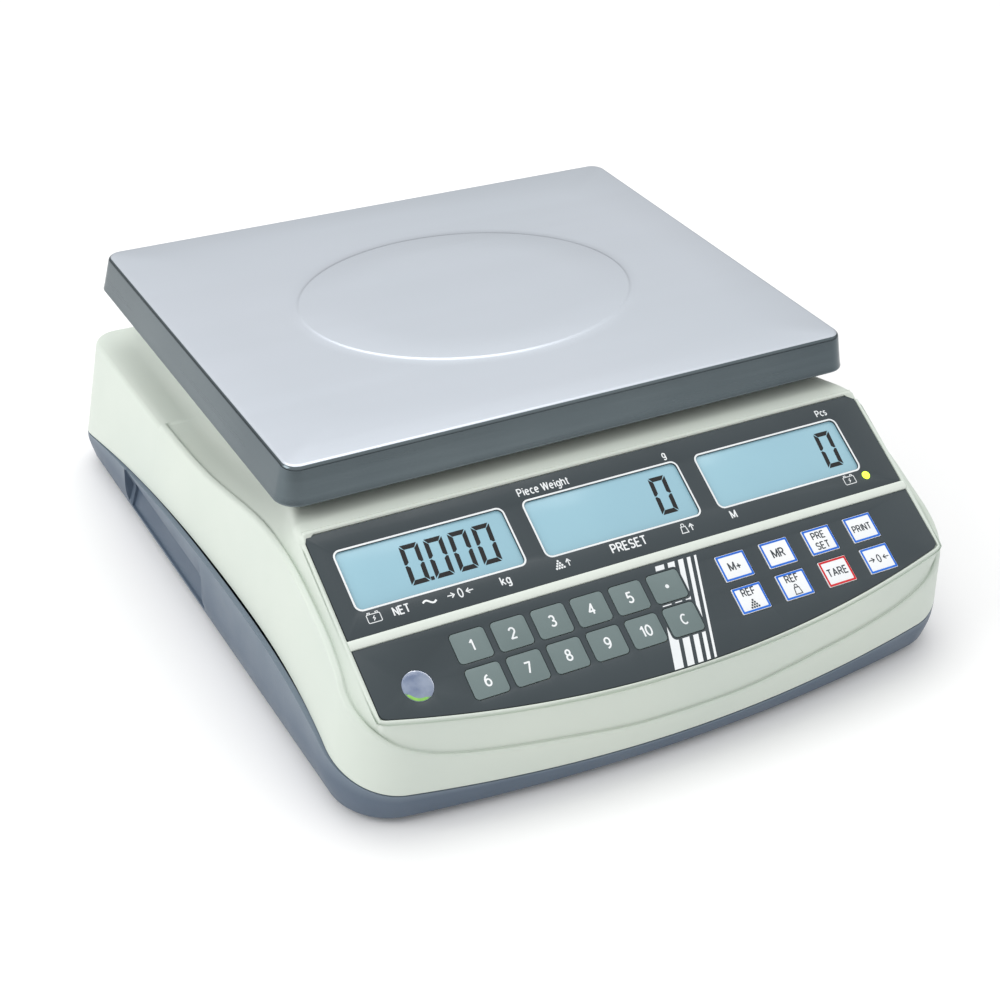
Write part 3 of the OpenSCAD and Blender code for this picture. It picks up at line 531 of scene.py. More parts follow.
def panelPoint(x, u, w):
    return onPanel(x * mm, u * mm, w * mm) / mm


lowerCornerS = marks[0] + outline["frontR"] * (math.acos(
    -(panelPoint(recessHalf, -overlaySide - 0.4, 0).y - cornerY) / outline["frontR"]) - bowTurn)
topCornerY = panelPoint(0, displayLong / mm + 0.4, 0).y
topCornerS = sideMark(topCornerY)


def recessPoint(s, w):
    if s < lowerCornerS:
        x = min(planAt(s)[0].x, recessHalf)
        u = keypadEdge(x) - 0.4
    else:
        x = recessHalf
        u = (planAt(s)[0].y - pY) / math.cos(tilt)
        u = max(u, keypadEdge(x) - 0.4)
    nearCorner = (x - (recessHalf - 2.2)) if s < lowerCornerS + 3 else 0
    if nearCorner > 0 and u < keypadEdge(x) + 2.2:
        u = u + 0.5 * (nearCorner / 2.2) ** 2
    return panelPoint(x, u, w)


def panelSection(s):
    p, o = planAt(s)
    zc = along(coverLook["crest"], s)
    side = ease(lowerCornerS - 22, lowerCornerS + 14, s)
    edge = recessPoint(s, 0.15)
    lip = along(coverLook["innerLip"], p.y) * side
    room = (p - edge).dot(o) if s < lowerCornerS else halfWide - recessHalf
    # the ridge, the groove inside it and the slope up to the overlay, front to side
    d = coverLook
    crest = moved(s, lean(s, zc) + 0.3, zc)
    ribIn = d["frontRib"] * (1 - side) + d["ribWide"] * side
    rib = moved(s, lean(s, zc) + ribIn, zc + 1.3 - 0.5 * side)
    step = moved(s, lean(s, zc) + ribIn + 1.25, zc + (0.35 * (1 - side) + (0.8 - d["stepDown"]) * side))
    topOut = min(0.9, room * 0.4) * (1 - side) + 1.5 * side
    top = edge + Vector((o.x, o.y, 0)) * topOut
    top.z = panelAt(top.y * mm) / mm + 0.15 + lip
    past = ease(lowerCornerS, lowerCornerS + 14, s)
    if past > 0:
        top.x = top.x * (1 - past) + (recessHalf + 1.5) * past
    bottom = recessPoint(s, -1.3)
    radii = [0, 0.7, 1.1, 0.8, 0.9 + 0.3 * side, 1.2, 0.3, 0]
    return [crest, rib, step, top, edge, bottom], radii


def deckSection(s):
    p, o = planAt(s)
    y = p.y
    d = coverLook
    notch = ease(sideMark(d["notchY"]) - 1.2, sideMark(d["notchY"]), s)
    zc = along(d["crest"], s)
    zs = d["shelf"]
    # in front of the notch: a raised rib, its step, then one sweep up to the deck
    crestA = moved(s, lean(s, zc) + 0.3, zc)
    ribA = moved(s, lean(s, zc) + d["ribWide"], zc + 0.9)
    stepA = moved(s, lean(s, zc) + d["ribWide"] + 0.9, zc + 0.9 - d["stepDown"])
    # behind it: a rolled shelf edge, the shelf and a cove up to the deck
    crestB = moved(s, lean(s, zs - 0.9) + 0.2, zs - 0.9)
    ribB = moved(s, lean(s, zs) + 3.4, zs + 0.1)
    stepB = moved(s, lean(s, zs) + 5.6, zs + 0.5)
    deckB, endB, midB = deckBack(s)
    sweep = ease(sideMark(-55), sideMark(62), s)
    edgeX = along(d["deckEdge"], y)
    topA = Vector((edgeX, y, deckZ))
    low = stepA.lerp(stepB, sweep)
    midA = Vector((edgeX + (low.x - edgeX) * (0.42 - 0.1 * sweep), y,
                   low.z + (deckZ - low.z) * 0.42 * (1 - sweep) + 1.2 * sweep))
    endA = Vector((edgeX - 7, y, deckZ))
    toBack = ease(sideMark(-5), sideMark(64), s)
    points = [crestA.lerp(crestB, notch), ribA.lerp(ribB, notch), stepA.lerp(stepB, notch),
              midA.lerp(midB, toBack), topA.lerp(deckB, toBack), endA.lerp(endB, toBack)]
    radii = [0, 0.7, 1.2 + 0.8 * notch, 0.9 + 1.1 * notch, 1.0 + 1.6 * notch, 12 - 3 * sweep, 6.5, 0]
    return points, radii


# deck edge, inner deck line and shelf line behind the notch
def deckBack(s):
    d = coverLook
    sideX, backY, r, rise = d["deckX"], d["deckY"], d["deckRound"], d["shelfRise"]
    if s <= marks[2]:
        k = (s - sideMark(0)) / (marks[2] - sideMark(0))
        base, out = Vector((sideX, (backY - r) * k, 0)), Vector((1, 0, 0))
    elif s <= marks[3]:
        turn = (s - marks[2]) / (marks[3] - marks[2])
        out = Vector((math.cos(math.pi / 2 * turn), math.sin(math.pi / 2 * turn), 0))
        base = Vector((sideX - r, backY - r, 0)) + out * r
        rise += d["rearRise"] * turn
    else:
        out = Vector((0, 1, 0))
        base = Vector(((sideX - r) * (1 - (s - marks[3]) / runs[4]), backY, 0))
        rise += d["rearRise"]
    shelf = base.lerp(planAt(s)[0], d["shelfOut"]) + Vector((0, 0, d["shelf"] + rise))
    return base + Vector((0, 0, deckZ)), base - out * d["deckRoll"] + Vector((0, 0, deckZ)), shelf


def coverSection(s):
    p, o = planAt(s)
    zs = seamZ(p.y)
    if s < topCornerS:
        points, radii = panelSection(s)
        over = ease(topCornerS - 16, topCornerS, s)
        if over > 0:
            other = deckSection(s)[0]
            for i in range(3):
                points[i] = points[i].lerp(other[i], over)
    else:
        points, radii = deckSection(s)
    start = [moved(s, lean(s, zs) + 1.4, zs), moved(s, lean(s, zs), zs)]
    return filletPath(start + points, radii, 4)


def halfMarks():
    notch = sideMark(coverLook["notchY"])
    stops = (spread(0, marks[0], 4.0) + spread(marks[0], lowerCornerS - 6, 2.0)
             + spread(lowerCornerS - 6, lowerCornerS + 6, 1.0) + spread(lowerCornerS + 6, marks[1], 2.0)
             + spread(marks[1], topCornerS, 3.2) + spread(topCornerS + 0.02, notch - 4, 3.2)
             + spread(notch - 4, notch + 2, 0.5) + spread(notch + 2, marks[2], 4.5)
             + spread(marks[2], marks[3], 2.2) + spread(marks[3], marks[4], 6.0) + [marks[4]])
    return stops


# joins sections for the right half, mirrored to the left, into one band all round
def loftRing(bm, sections):
    loops = [[(q.x * mm, q.y * mm, q.z * mm) for q in sec] for sec in sections]
    left = [[(-x, y, z) for x, y, z in lp] for lp in loops[1:-1]][::-1]
    allLoops = loops + left
    grid = [[bm.verts.new(c) for c in lp] for lp in allLoops]
    n = len(grid)
    for i in range(n):
        a, b = grid[i], grid[(i + 1) % n]
        for k in range(len(a) - 1):
            bm.faces.new((a[k], b[k], b[k + 1], a[k + 1]))
    return grid


# closes the flat or nearly flat region between loops of vertices (the first is the outside)
def fillFlat(bm, loops, reverse=False):
    coords, edges, verts = [], [], []
    for lp in loops:
        start = len(coords)
        coords += [Vector((v.co.x, v.co.y)) for v in lp]
        verts += lp
        edges += [(start + i, start + (i + 1) % len(lp)) for i in range(len(lp))]
    flat = [[(v.co.x, v.co.y) for v in lp] for lp in loops]
    made = delaunay_2d_cdt(coords, edges, [], 1, 1e-9)
    for tri in made[2]:
        if any(not made[3][k] for k in tri):
            continue
        ids = [made[3][k][0] for k in tri]
        mid = sum((coords[k] for k in ids), Vector((0, 0))) / 3
        if not insideLoops(mid, flat):
            continue
        vs = [verts[k] for k in ids]
        if len(set(vs)) == 3:
            if reverse:
                vs = vs[::-1]
            try:
                bm.faces.new(vs)
            except ValueError:
                pass


# outlines on the panel, in mm, of what opens through its floor
def recessHoles():
    holes = []
    for low, high in windowBoxes():
        holes.append([(low[0], low[1]), (high[0], low[1]), (high[0], high[1]), (low[0], high[1])])
    return holes


def windowBoxes():
    d = windowLook
    out = []
    for i in (-1, 0, 1):
        cx = d["midX"] + i * d["pitch"]
        out.append(((cx - d["w"] / 2, d["u"] - d["h"] / 2), (cx + d["w"] / 2, d["u"] + d["h"] / 2)))
    return out


windowLook = {"midX": -4, "pitch": 92, "w": 82, "h": 29, "u": 25.7}
levelLook = {"x": -125.3, "u": -27, "r": 7.1}
lampLook = {"x": 129.6, "u": 7.6, "r": 2.0}


def makeCover():
    bm = bmesh.new()
    stops = halfMarks()
    sections = [coverSection(s) for s in stops]
    grid = loftRing(bm, sections)
    panelCount = sum(1 for s in stops if s < topCornerS)
    n = len(grid)
    rightEnd = panelCount - 1
    leftEnd = n - panelCount + 1
    # recess floor: the loop of lowest recess points and a straight top edge
    floorLoop = [grid[i % n][-1] for i in range(leftEnd, n + rightEnd + 1)]
    topRight = [bm.verts.new(panelPoint(x, displayLong / mm + 0.4, -1.3) * mm)
                for x in (recessHalf, -recessHalf)]
    inner = panelFrame.inverted()
    coords = [inner @ v.co for v in floorLoop] + [inner @ v.co for v in topRight]
    loop2 = [(c.x / mm, c.y / mm) for c in coords]
    verts = floorLoop + topRight
    holes = recessHoles()
    holes.append(ringPoints(levelLook["r"] + 0.1, 40, (levelLook["x"], levelLook["u"])))
    holes.append(ringPoints(lampLook["r"] + 0.15, 24, (lampLook["x"], lampLook["u"])))
    holeVerts = []
    for hole in holes:
        hv = [bm.verts.new(panelPoint(x, u, -1.3) * mm) for x, u in hole]
        holeVerts.append(hv)
    fillPlane(bm, [loop2] + holes, [verts] + holeVerts)
    # walls of the holes go down through the plate
    for hole, hv in zip(holes, holeVerts):
        low = [bm.verts.new(panelPoint(x, u, -1.3 - coverLook["wall"]) * mm) for x, u in hole]
        for i in range(len(hv)):
            j = (i + 1) % len(hv)
            bm.faces.new((hv[i], hv[j], low[j], low[i]))
    # deck: inner line of the rear sections and the recess's top edge
    deckLoop = [grid[i][-1] for i in range(rightEnd + 1, leftEnd)]
    topEdge = [bm.verts.new(panelPoint(x, displayLong / mm + 0.4, 0.1) * mm)
               for x in (-recessHalf, recessHalf)]
    for v in topEdge:
        v.co.z = min(v.co.z, deckZ * mm)
    hole = ringFrom(bm, roundedRect(50, 46, 6, 5, (48, 41.5)), deckZ)
    fillFlat(bm, [deckLoop + topEdge, hole])
    bm.faces.new((topEdge[0], topEdge[1], topRight[0], topRight[1]))
    bmesh.ops.remove_doubles(bm, verts=bm.verts[:], dist=1e-6)
    bmesh.ops.recalc_face_normals(bm, faces=bm.faces[:])
    return bm


def ringFrom(bm, points, z):
    return [bm.verts.new((x * mm, y * mm, z * mm)) for x, y in points]


def fillPlane(bm, loops, vertLoops):
    coords, edges, verts = [], [], []
    for lp, vl in zip(loops, vertLoops):
        start = len(coords)
        coords += [Vector(p) for p in lp]
        verts += vl
        edges += [(start + i, start + (i + 1) % len(lp)) for i in range(len(lp))]
    made = delaunay_2d_cdt(coords, edges, [], 1, 1e-7)
    for tri in made[2]:
        if any(not made[3][k] for k in tri):
            continue
        ids = [made[3][k][0] for k in tri]
        mid = sum((coords[k] for k in ids), Vector((0, 0))) / 3
        if insideLoops(mid, loops):
            vs = [verts[k] for k in ids]
            if len(set(vs)) == 3:
                try:
                    bm.faces.new(vs)
                except ValueError:
                    pass

# materials
# a principled finish whose colour, roughness and bump all come from noise in Object coordinates
def finish(name, colour, second=None, rough=(0.4, 0.5), metal=0.0, patch=9, grain=1400, bump=0.05,
           stretch=(1, 1, 1), edgeTint=0.0, edgeTintColour=(0.9, 0.9, 0.9), coat=0.0, glow=None, clear=0.0,
           ior=1.46, specks=0.0):
    material = bpy.data.materials.new(name)
    material.use_nodes = True
    tree = material.node_tree
    nodes, links = tree.nodes, tree.links
    shader = nodes["Principled BSDF"]
    shader.inputs["Metallic"].default_value = metal
    shader.inputs["IOR"].default_value = ior
    shader.inputs["Coat Weight"].default_value = coat
    shader.inputs["Coat Roughness"].default_value = 0.12
    shader.inputs["Transmission Weight"].default_value = clear
    second = second or tuple(c * 0.93 for c in colour)
    coord = nodes.new("ShaderNodeTexCoord")
    mapping = nodes.new("ShaderNodeMapping")
    mapping.inputs["Scale"].default_value = stretch
    links.new(coord.outputs["Object"], mapping.inputs["Vector"])

    def noise(scale, detail, source):
        n = nodes.new("ShaderNodeTexNoise")
        n.inputs["Scale"].default_value = scale
        n.inputs["Detail"].default_value = detail
        links.new(source, n.inputs["Vector"])
        return n.outputs["Fac"]

    def ramp(source, low, high, fromLow=0.35, fromHigh=0.65):
        r = nodes.new("ShaderNodeMapRange")
        r.inputs["From Min"].default_value = fromLow
        r.inputs["From Max"].default_value = fromHigh
        r.inputs["To Min"].default_value = low
        r.inputs["To Max"].default_value = high
        links.new(source, r.inputs["Value"])
        return r.outputs["Result"]

    def mixColour(factor, a, b):
        m = nodes.new("ShaderNodeMix")
        m.data_type = "RGBA"
        if isinstance(factor, float):
            m.inputs["Factor"].default_value = factor
        else:
            links.new(factor, m.inputs["Factor"])
        for socket, value in ((m.inputs[6], a), (m.inputs[7], b)):
            if isinstance(value, tuple):
                socket.default_value = (*value, 1)
            else:
                links.new(value, socket)
        return m.outputs[2]

    tone = mixColour(ramp(noise(patch, 3, coord.outputs["Object"]), 0, 1), colour, second)
    if specks:
        fleck = ramp(noise(grain * 0.4, 1, mapping.outputs["Vector"]), 0, specks, 0.62, 0.72)
        tone = mixColour(fleck, tone, tuple(c * 0.55 for c in colour))
    # the colour turns toward edgeTintColour on sharp convex edges, found by Pointiness
    if edgeTint:
        geometry = nodes.new("ShaderNodeNewGeometry")
        edge = ramp(geometry.outputs["Pointiness"], 0, edgeTint, 0.52, 0.6)
        tone = mixColour(edge, tone, edgeTintColour)
    links.new(tone, shader.inputs["Base Color"])
    fine = noise(grain, 2, mapping.outputs["Vector"])
    links.new(ramp(noise(patch * 4, 4, mapping.outputs["Vector"]), rough[0], rough[1]),
              shader.inputs["Roughness"])
    bumpNode = nodes.new("ShaderNodeBump")
    bumpNode.inputs["Strength"].default_value = bump
    bumpNode.inputs["Distance"].default_value = 0.0002
    links.new(fine, bumpNode.inputs["Height"])
    links.new(bumpNode.outputs["Normal"], shader.inputs["Normal"])
    if glow:
        shader.inputs["Emission Color"].default_value = (*glow[0], 1)
        shader.inputs["Emission Strength"].default_value = glow[1]
    return material


# screen colour to linear
def paint(r, g, b):
    return tuple((c / 255 / 12.92) if c / 255 <= 0.04045 else ((c / 255 + 0.055) / 1.055) ** 2.4
                 for c in (r, g, b))


coverPlastic = finish("coverPlastic", paint(212, 220, 210), paint(207, 216, 207), (0.36, 0.46),
                      grain=1700,
                      bump=0.10, edgeTint=0.25, edgeTintColour=paint(240, 243, 238))
basePlastic = finish("basePlastic", paint(90, 104, 120), paint(84, 98, 115), (0.42, 0.55), grain=1300,
                     bump=0.22, edgeTint=0.25, edgeTintColour=paint(160, 172, 180))
panSteel = finish("panSteel", paint(205, 211, 219), paint(201, 208, 216), (0.34, 0.38), metal=1.0,
                  patch=4,
                  grain=520, bump=0.015, stretch=(0.2, 5, 5), edgeTint=0.2, edgeTintColour=paint(225, 228, 232))
# the pan's skirt and underside: the same steel painted much darker, painted shade for the dark reflections on its
# upright sides
shadedSkirtSteel = finish("shadedSkirtSteel", paint(104, 114, 118), paint(92, 102, 107), (0.2, 0.28), metal=1.0,
                    patch=7,
                    grain=520, bump=0.04, stretch=(0.3, 0.3, 8), edgeTint=0.2,
                    edgeTintColour=paint(205, 210, 216))
overlayFilm = finish("overlayFilm", paint(50, 61, 66), paint(46, 57, 62), (0.34, 0.44), patch=14,
                     grain=2600,
                     bump=0.06, coat=0.12)
printWhite = finish("printWhite", paint(238, 241, 242), paint(228, 232, 234), (0.4, 0.5), patch=40,
                    grain=2400, bump=0.04)
numberGrey = finish("numberGrey", paint(108, 124, 124), paint(103, 119, 119), (0.36, 0.46),
                    patch=30, grain=2600,
                    bump=0.07, coat=0.12, edgeTint=0.2, edgeTintColour=paint(150, 164, 163))
functionWhite = finish("functionWhite", paint(244, 246, 247), paint(236, 239, 241), (0.34, 0.44),
                       patch=30,
                       grain=2600, bump=0.05, coat=0.12)
outlineBlue = finish("outlineBlue", paint(20, 108, 214), paint(16, 98, 204), (0.36, 0.46), patch=40,
                     grain=2400, bump=0.04)
outlineRed = finish("outlineRed", paint(212, 22, 34), paint(196, 16, 28), (0.36, 0.46), patch=40,
                    grain=2400, bump=0.04)
printDark = finish("printDark", paint(52, 60, 66), paint(44, 52, 58), (0.4, 0.5), patch=40,
                   grain=2400, bump=0.04)
lcdFace = finish("lcdFace", paint(146, 186, 200), paint(142, 182, 197), (0.16, 0.24), patch=18,
                 grain=2600,
                 bump=0.01, coat=0.3, glow=(paint(160, 205, 220), 0.08))
lcdInk = finish("lcdInk", paint(3, 4, 5), paint(6, 8, 10), (0.25, 0.35), patch=60, grain=2600, bump=0.02)
print("materials set")

# cover and base
coverBm = makeCover()


# a bar with this (u, w) outline between two x positions
def prismAlongX(bm, profile, x0, x1, place, materialIndex=0):
    ends = [[bm.verts.new(place @ Vector((x * mm, u * mm, w * mm))) for u, w in profile]
            for x in (x0, x1)]
    n = len(profile)
    for i in range(n):
        j = (i + 1) % n
        f = bm.faces.new((ends[0][i], ends[0][j], ends[1][j], ends[1][i]))
        f.material_index = materialIndex
    bm.faces.new(ends[0][::-1]).material_index = materialIndex
    bm.faces.new(ends[1]).material_index = materialIndex


barLook = {"wide": 4.7, "proud": 0.95, "foot": -1.3}
cover = newPiece("cover_shell", coverBm, "housing", (), [coverPlastic], 30)
thick = cover.modifiers.new("wall", "SOLIDIFY")
thick.thickness = coverLook["wall"] * mm
thick.offset = -1
bakeModifiers(cover)
for v in cover.data.vertices:
    v.co.y = max(v.co.y, frontY * mm)
# openings for the rear sockets
serialLow, serialHigh = (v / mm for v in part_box("serial_socket"))
powerLow, powerHigh = (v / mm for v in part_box("dc_socket"))
serialLook = {"mouth": (19, 11), "screwGap": 12.5, "screwHole": 2.45, "flange": (32.8, 12.8), "round": 2.2,
              "wall": 0.5, "proud": 4.45, "deep": 10.4, "pinPitch": 2.75, "pinR": 0.5, "pinRow": 1.4}
jackLook = {"hole": 5.6, "sleeve": 5.4, "bore": 3.3, "pin": 1.0, "proud": 4.45, "deep": 11.45}
serialX = (serialLow.x + serialHigh.x) / 2
screwHole = ringPoints(serialLook["screwHole"], 20)
rearHoles = [(serialX, roundedRect(*serialLook["mouth"], 1.6, 3)),
             (serialX - serialLook["screwGap"], screwHole), (serialX + serialLook["screwGap"], screwHole),
             ((powerLow.x + powerHigh.x) / 2, ringPoints(jackLook["hole"], 32))]
cutBm = bmesh.new()
for x, shape in rearHoles:
    plateMesh(cutBm, scaled(shape), [], 30 * mm, -12 * mm, 0,
              Matrix.Translation((x * mm, (rearY - 8) * mm, (serialLow.z + serialHigh.z) / 2 * mm))
              @ Matrix.Rotation(-math.pi / 2, 4, "X"))
bmesh.ops.recalc_face_normals(cutBm, faces=cutBm.faces[:])
cutWith(cover, looseObject("rearCutter", cutBm))
bm = bmesh.new()
mergeFrom(bm, cover)
half = barLook["wide"] / 2
barProfile = [(-half * 2 + 0.1, barLook["foot"]), (-0.1, barLook["foot"])]
for i in range(9):
    a = math.pi * i / 8
    barProfile.append((-half + (half - 0.1) * math.cos(a), barLook["proud"] * math.sin(a) ** 0.7))
prismAlongX(bm, barProfile, -recessHalf - 0.3, recessHalf + 0.3, panelFrame)
bmesh.ops.recalc_face_normals(bm, faces=bm.faces[:])
cover = newPiece("cover_shell", bm, "housing", ("top_cover",), [coverPlastic], 30)
print("cover made", len(cover.data.polygons))

# weighing pan
panLow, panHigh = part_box("pan")
panLook = {"wide": 302, "deep": 233, "corner": 11, "flare": 4, "bend": 2.6, "sheet": 1.0, "rimHigh": 18,
           "ovalWide": 174, "ovalDeep": 128, "ovalHigh": 0.6, "ovalSoft": 6}
panTop = panHigh.z / mm - panLook["ovalHigh"]
panMidY = (panLow.y + panHigh.y) / 2 / mm


# n points round a rounded rectangle, evenly by direction classes so rings match
def panRing(w, d, r, n):
    out = []
    per = n // 4
    for q in range(4):
        for i in range(per):
            k = i / per
            a = math.radians(90 * q)
            # each quarter: half a side, the corner, half a side
            if k < 0.3:
                t = k / 0.3
                local = (w / 2, (d / 2 - r) * t) if q % 2 == 0 else (d / 2, (w / 2 - r) * t)
            elif k < 0.7:
                b = math.pi / 2 * (k - 0.3) / 0.4
                hw, hd = (w / 2, d / 2) if q % 2 == 0 else (d / 2, w / 2)
                local = (hw - r + r * math.cos(b), hd - r + r * math.sin(b))
            else:
                t = (k - 0.7) / 0.3
                local = ((w / 2 - r) * (1 - t), d / 2) if q % 2 == 0 else ((d / 2 - r) * (1 - t), w / 2)
            out.append((local[0] * math.cos(a) - local[1] * math.sin(a),
                        local[0] * math.sin(a) + local[1] * math.cos(a)))
    return out


def makePan():
    bm = bmesh.new()
    d, n = panLook, 240
    edge = panRing(d["wide"], d["deep"], d["corner"], n)

    # k 0: the oval, k 1: the outline
    def blendRing(k, z, grow=0.0):
        pts = []
        for x, y in edge:
            a = math.atan2(y / d["deep"], x / d["wide"])
            ox, oy = (d["ovalWide"] / 2 + grow) * math.cos(a), (d["ovalDeep"] / 2 + grow) * math.sin(a)
            pts.append((ox * (1 - k) + x * k, oy * (1 - k) + y * k, z))
        return pts

    def outlineRing(inset, z):
        pts = panRing(d["wide"] - 2 * inset, d["deep"] - 2 * inset, max(d["corner"] - inset, 2), n)
        return [(x, y, z) for x, y in pts]

    high = panTop + d["ovalHigh"]
    rings = [[(0, 0, high)]]
    for k in (0.35, 0.7):
        rings.append([(x * k, y * k, high) for x, y, z in blendRing(0, 0, -2)])
    for grow, drop in ((-1.0, 0.0), (-0.5, 0.05), (0.0, 0.22), (0.5, 0.36)):
        rings.append(blendRing(0, high - drop, grow))
    for i in range(1, 7):
        t = i / 6
        rings.append(blendRing(0, high - 0.36 - (d["ovalHigh"] - 0.36) * (t * (2 - t)),
                               0.5 + (d["ovalSoft"] - 0.5) * t))
    rings.append(blendRing(0.5, panTop, d["ovalSoft"]))
    flareAngle = math.atan2(d["flare"], d["rimHigh"])
    topCount = len(rings)
    for i in range(8):
        a = (math.pi / 2 - flareAngle) * i / 7
        # rolled edge: the top's tangent turns down to the skirt's
        r = d["bend"]
        out = r * math.sin(a)
        down = r * (1 - math.cos(a))
        start = d["flare"] - 0.2 + r * 0.8
        rings.append(outlineRing(start - out, panTop - down))
    foot = panTop - d["rimHigh"]
    rings.append(outlineRing(0.9, foot + 4))
    rings.append(outlineRing(0.15, foot + 0.9))
    rings.append(outlineRing(0.0, foot + 0.45))
    rings.append(outlineRing(0.2, foot + 0.1))
    rings.append(outlineRing(0.5, foot))
    rings.append(outlineRing(0.85, foot + 0.15))
    rings.append(outlineRing(1.0, foot + 0.5))
    inner = d["flare"] + d["sheet"] * 1.05
    rings.append(outlineRing(inner - 0.7, panTop - d["bend"] - 0.8))
    rings.append(outlineRing(inner + 0.6, panTop - d["sheet"] - 0.3))
    rings.append(outlineRing(inner + 2.0, panTop - d["sheet"]))
    rings.append(blendRing(0.5, panTop - d["sheet"], d["ovalSoft"]))
    for grow, lift in ((d["ovalSoft"], 0.0), (d["ovalSoft"] * 0.5, d["ovalHigh"] * 0.4),
                       (1.2, d["ovalHigh"] * 0.75), (-1.0, d["ovalHigh"])):
        rings.append(blendRing(0, panTop - d["sheet"] + lift, grow))
    rings.append([(0, 0, high - d["sheet"])])
    made = []
    for ring in rings:
        made.append([bm.verts.new((x * mm, (y + panMidY) * mm, z * mm)) for x, y, z in ring])
    for k, (a, b) in enumerate(zip(made, made[1:])):
        for i in range(n):
            j = (i + 1) % n
            if len(a) == 1:
                f = bm.faces.new((a[0], b[i], b[j]))
            elif len(b) == 1:
                f = bm.faces.new((a[i], b[0], a[j]))
            else:
                f = bm.faces.new((a[i], b[i], b[j], a[j]))
            # from the rolled edge down, the pan takes the darker steel: painted shade
            f.material_index = 1 if k > topCount + 2 else 0
    bmesh.ops.recalc_face_normals(bm, faces=bm.faces[:])
    return bm


newPiece("weighing_pan", makePan(), "pan", ("pan",), [panSteel, shadedSkirtSteel], 50)
print("pan made")

# display overlay, LCDs and print
printHigh = 0.05 * mm
surface = panelFrame @ Matrix.Translation((0, 0, 0.002 * mm))


def at(x, u, w=0.0):
    return surface @ Matrix.Translation((x * mm, u * mm, w * mm))


# the keypad overlay's outline, its long lower edge bowed
def keypadOutline(grow=0.0, corner=2.4):
    hx, top = overlayHalf / mm + grow, -barLook["wide"] + grow
    pts = [(hx, top), (-hx, top)]
    n = 40
    for i in range(n + 1):
        x = -hx + 2 * hx * i / n
        pts.append((x, keypadEdge(x) - grow))
    # small rounds at the two lower corners
    lower = [p for p in pts[2:] if abs(p[0]) < hx - corner]
    left = [(-hx, keypadEdge(-hx) - grow + corner),
            (-hx + 0.25 * corner, keypadEdge(-hx + 1) - grow + 0.35 * corner),
            (-hx + corner, keypadEdge(-hx + corner) - grow)]
    right = [(-x, u) for x, u in left[::-1]]
    return pts[:2] + left + lower + right


def displayOutline():
    hx, top = overlayHalf / mm, displayLong / mm
    return roundedRect(2 * hx, top - 0.05, 1.2, 4, (0, top / 2))


windowHoles = [roundedRect(windowLook["w"] - 1.2, windowLook["h"] - 1.2, 2.6, 6,
                           (windowLook["midX"] + i * windowLook["pitch"], windowLook["u"]))
                           for i in (-1, 0, 1)]
bm = bmesh.new()
plateMesh(bm, scaled(displayOutline()),
          [scaled(h) for h in windowHoles] + [scaled(ringPoints(lampLook["r"] + 0.1, 28,
              (lampLook["x"], lampLook["u"])))],
          0, -overlayThick, 0.15 * mm, panelFrame)
for hole in windowHoles:
    outer = insetLoop(hole, -0.95)
    inner = insetLoop(hole, -0.12)
    plateMesh(bm, scaled(outer), [scaled(inner)], printHigh, 0, 0, surface, 1)

labelLook = {"top": 44.5, "row": 7.0}


def arrowMesh(bm, x, u, size, place, index, turn=0):
    s = size
    shaft = [(-s, 0), (s * 0.55, 0)]
    head = [(0.0, s * 0.62), (s * 0.75, 0), (0.0, -s * 0.62)]
    rot = Matrix.Rotation(math.radians(turn), 4, "Z")
    for line in (shaft, head):
        strokeMesh(bm, scaled(line), 0.27 * s * mm,
                   place @ Matrix.Translation((x * mm, u * mm, 0)) @ rot, printHigh, index)


def batterySign(bm, x, u, place, index):
    here = place @ Matrix.Translation((x * mm, u * mm, 0))
    strokeMesh(bm, scaled(roundedRect(6.2, 3.9, 0.5, 3)), 0.34 * mm, here, printHigh, index, closed=True)
    for sx in (-1, 1):
        strokeMesh(bm, scaled([(sx * 1.3, 2.1), (sx * 1.3, 2.7), (sx * 2.4, 2.7), (sx * 2.4, 2.1)]),
                   0.32 * mm, here, printHigh, index)
    strokeMesh(bm, scaled([(0.45, 1.1), (-0.45, 0.1), (0.45, -0.1), (-0.45, -1.1)]), 0.34 * mm,
               here, printHigh, index)


def waveSign(bm, x, u, place, index):
    pts = [(-3.2 + 6.4 * i / 12, 0.85 * math.sin(2 * math.pi * i / 12)) for i in range(13)]
    strokeMesh(bm, scaled(pts), 0.85 * mm, place @ Matrix.Translation((x * mm, u * mm, 0)),
               printHigh, index)


# a small heap of parts
def pileSign(bm, x, u, place, index, s=1.0):
    for row, count in enumerate((4, 3, 2, 1)):
        for k in range(count):
            cx = (k - (count - 1) / 2) * 1.35 * s
            here = place @ Matrix.Translation(((x + cx) * mm, (u - 1.9 * s + row * 1.2 * s) * mm, 0))
            plateMesh(bm, scaled(ringPoints(0.56 * s, 10)), [], printHigh, 0, 0, here, index)


def weightSign(bm, x, u, place, index, s=1.0):
    here = place @ Matrix.Translation((x * mm, u * mm, 0))
    body = [(-1.7 * s, -2.2 * s), (1.7 * s, -2.2 * s), (1.2 * s, 0.9 * s), (-1.2 * s, 0.9 * s)]
    strokeMesh(bm, scaled(body), 0.42 * s * mm, here, printHigh, index, closed=True)
    strokeMesh(bm, scaled(ringPoints(0.75 * s, 12, (0, 1.65 * s))), 0.38 * s * mm, here, printHigh,
               index, closed=True)


def zeroSign(bm, x, u, place, index, s=1.0):
    textMesh(bm, "0", 5.6 * s * mm, place @ Matrix.Translation((x * mm, u * mm, 0)), printHigh,
             index, 0.9)
    arrowMesh(bm, x - 4.3 * s, u, 1.9 * s, place, index)
    arrowMesh(bm, x + 4.3 * s, u, 1.9 * s, place, index, 180)


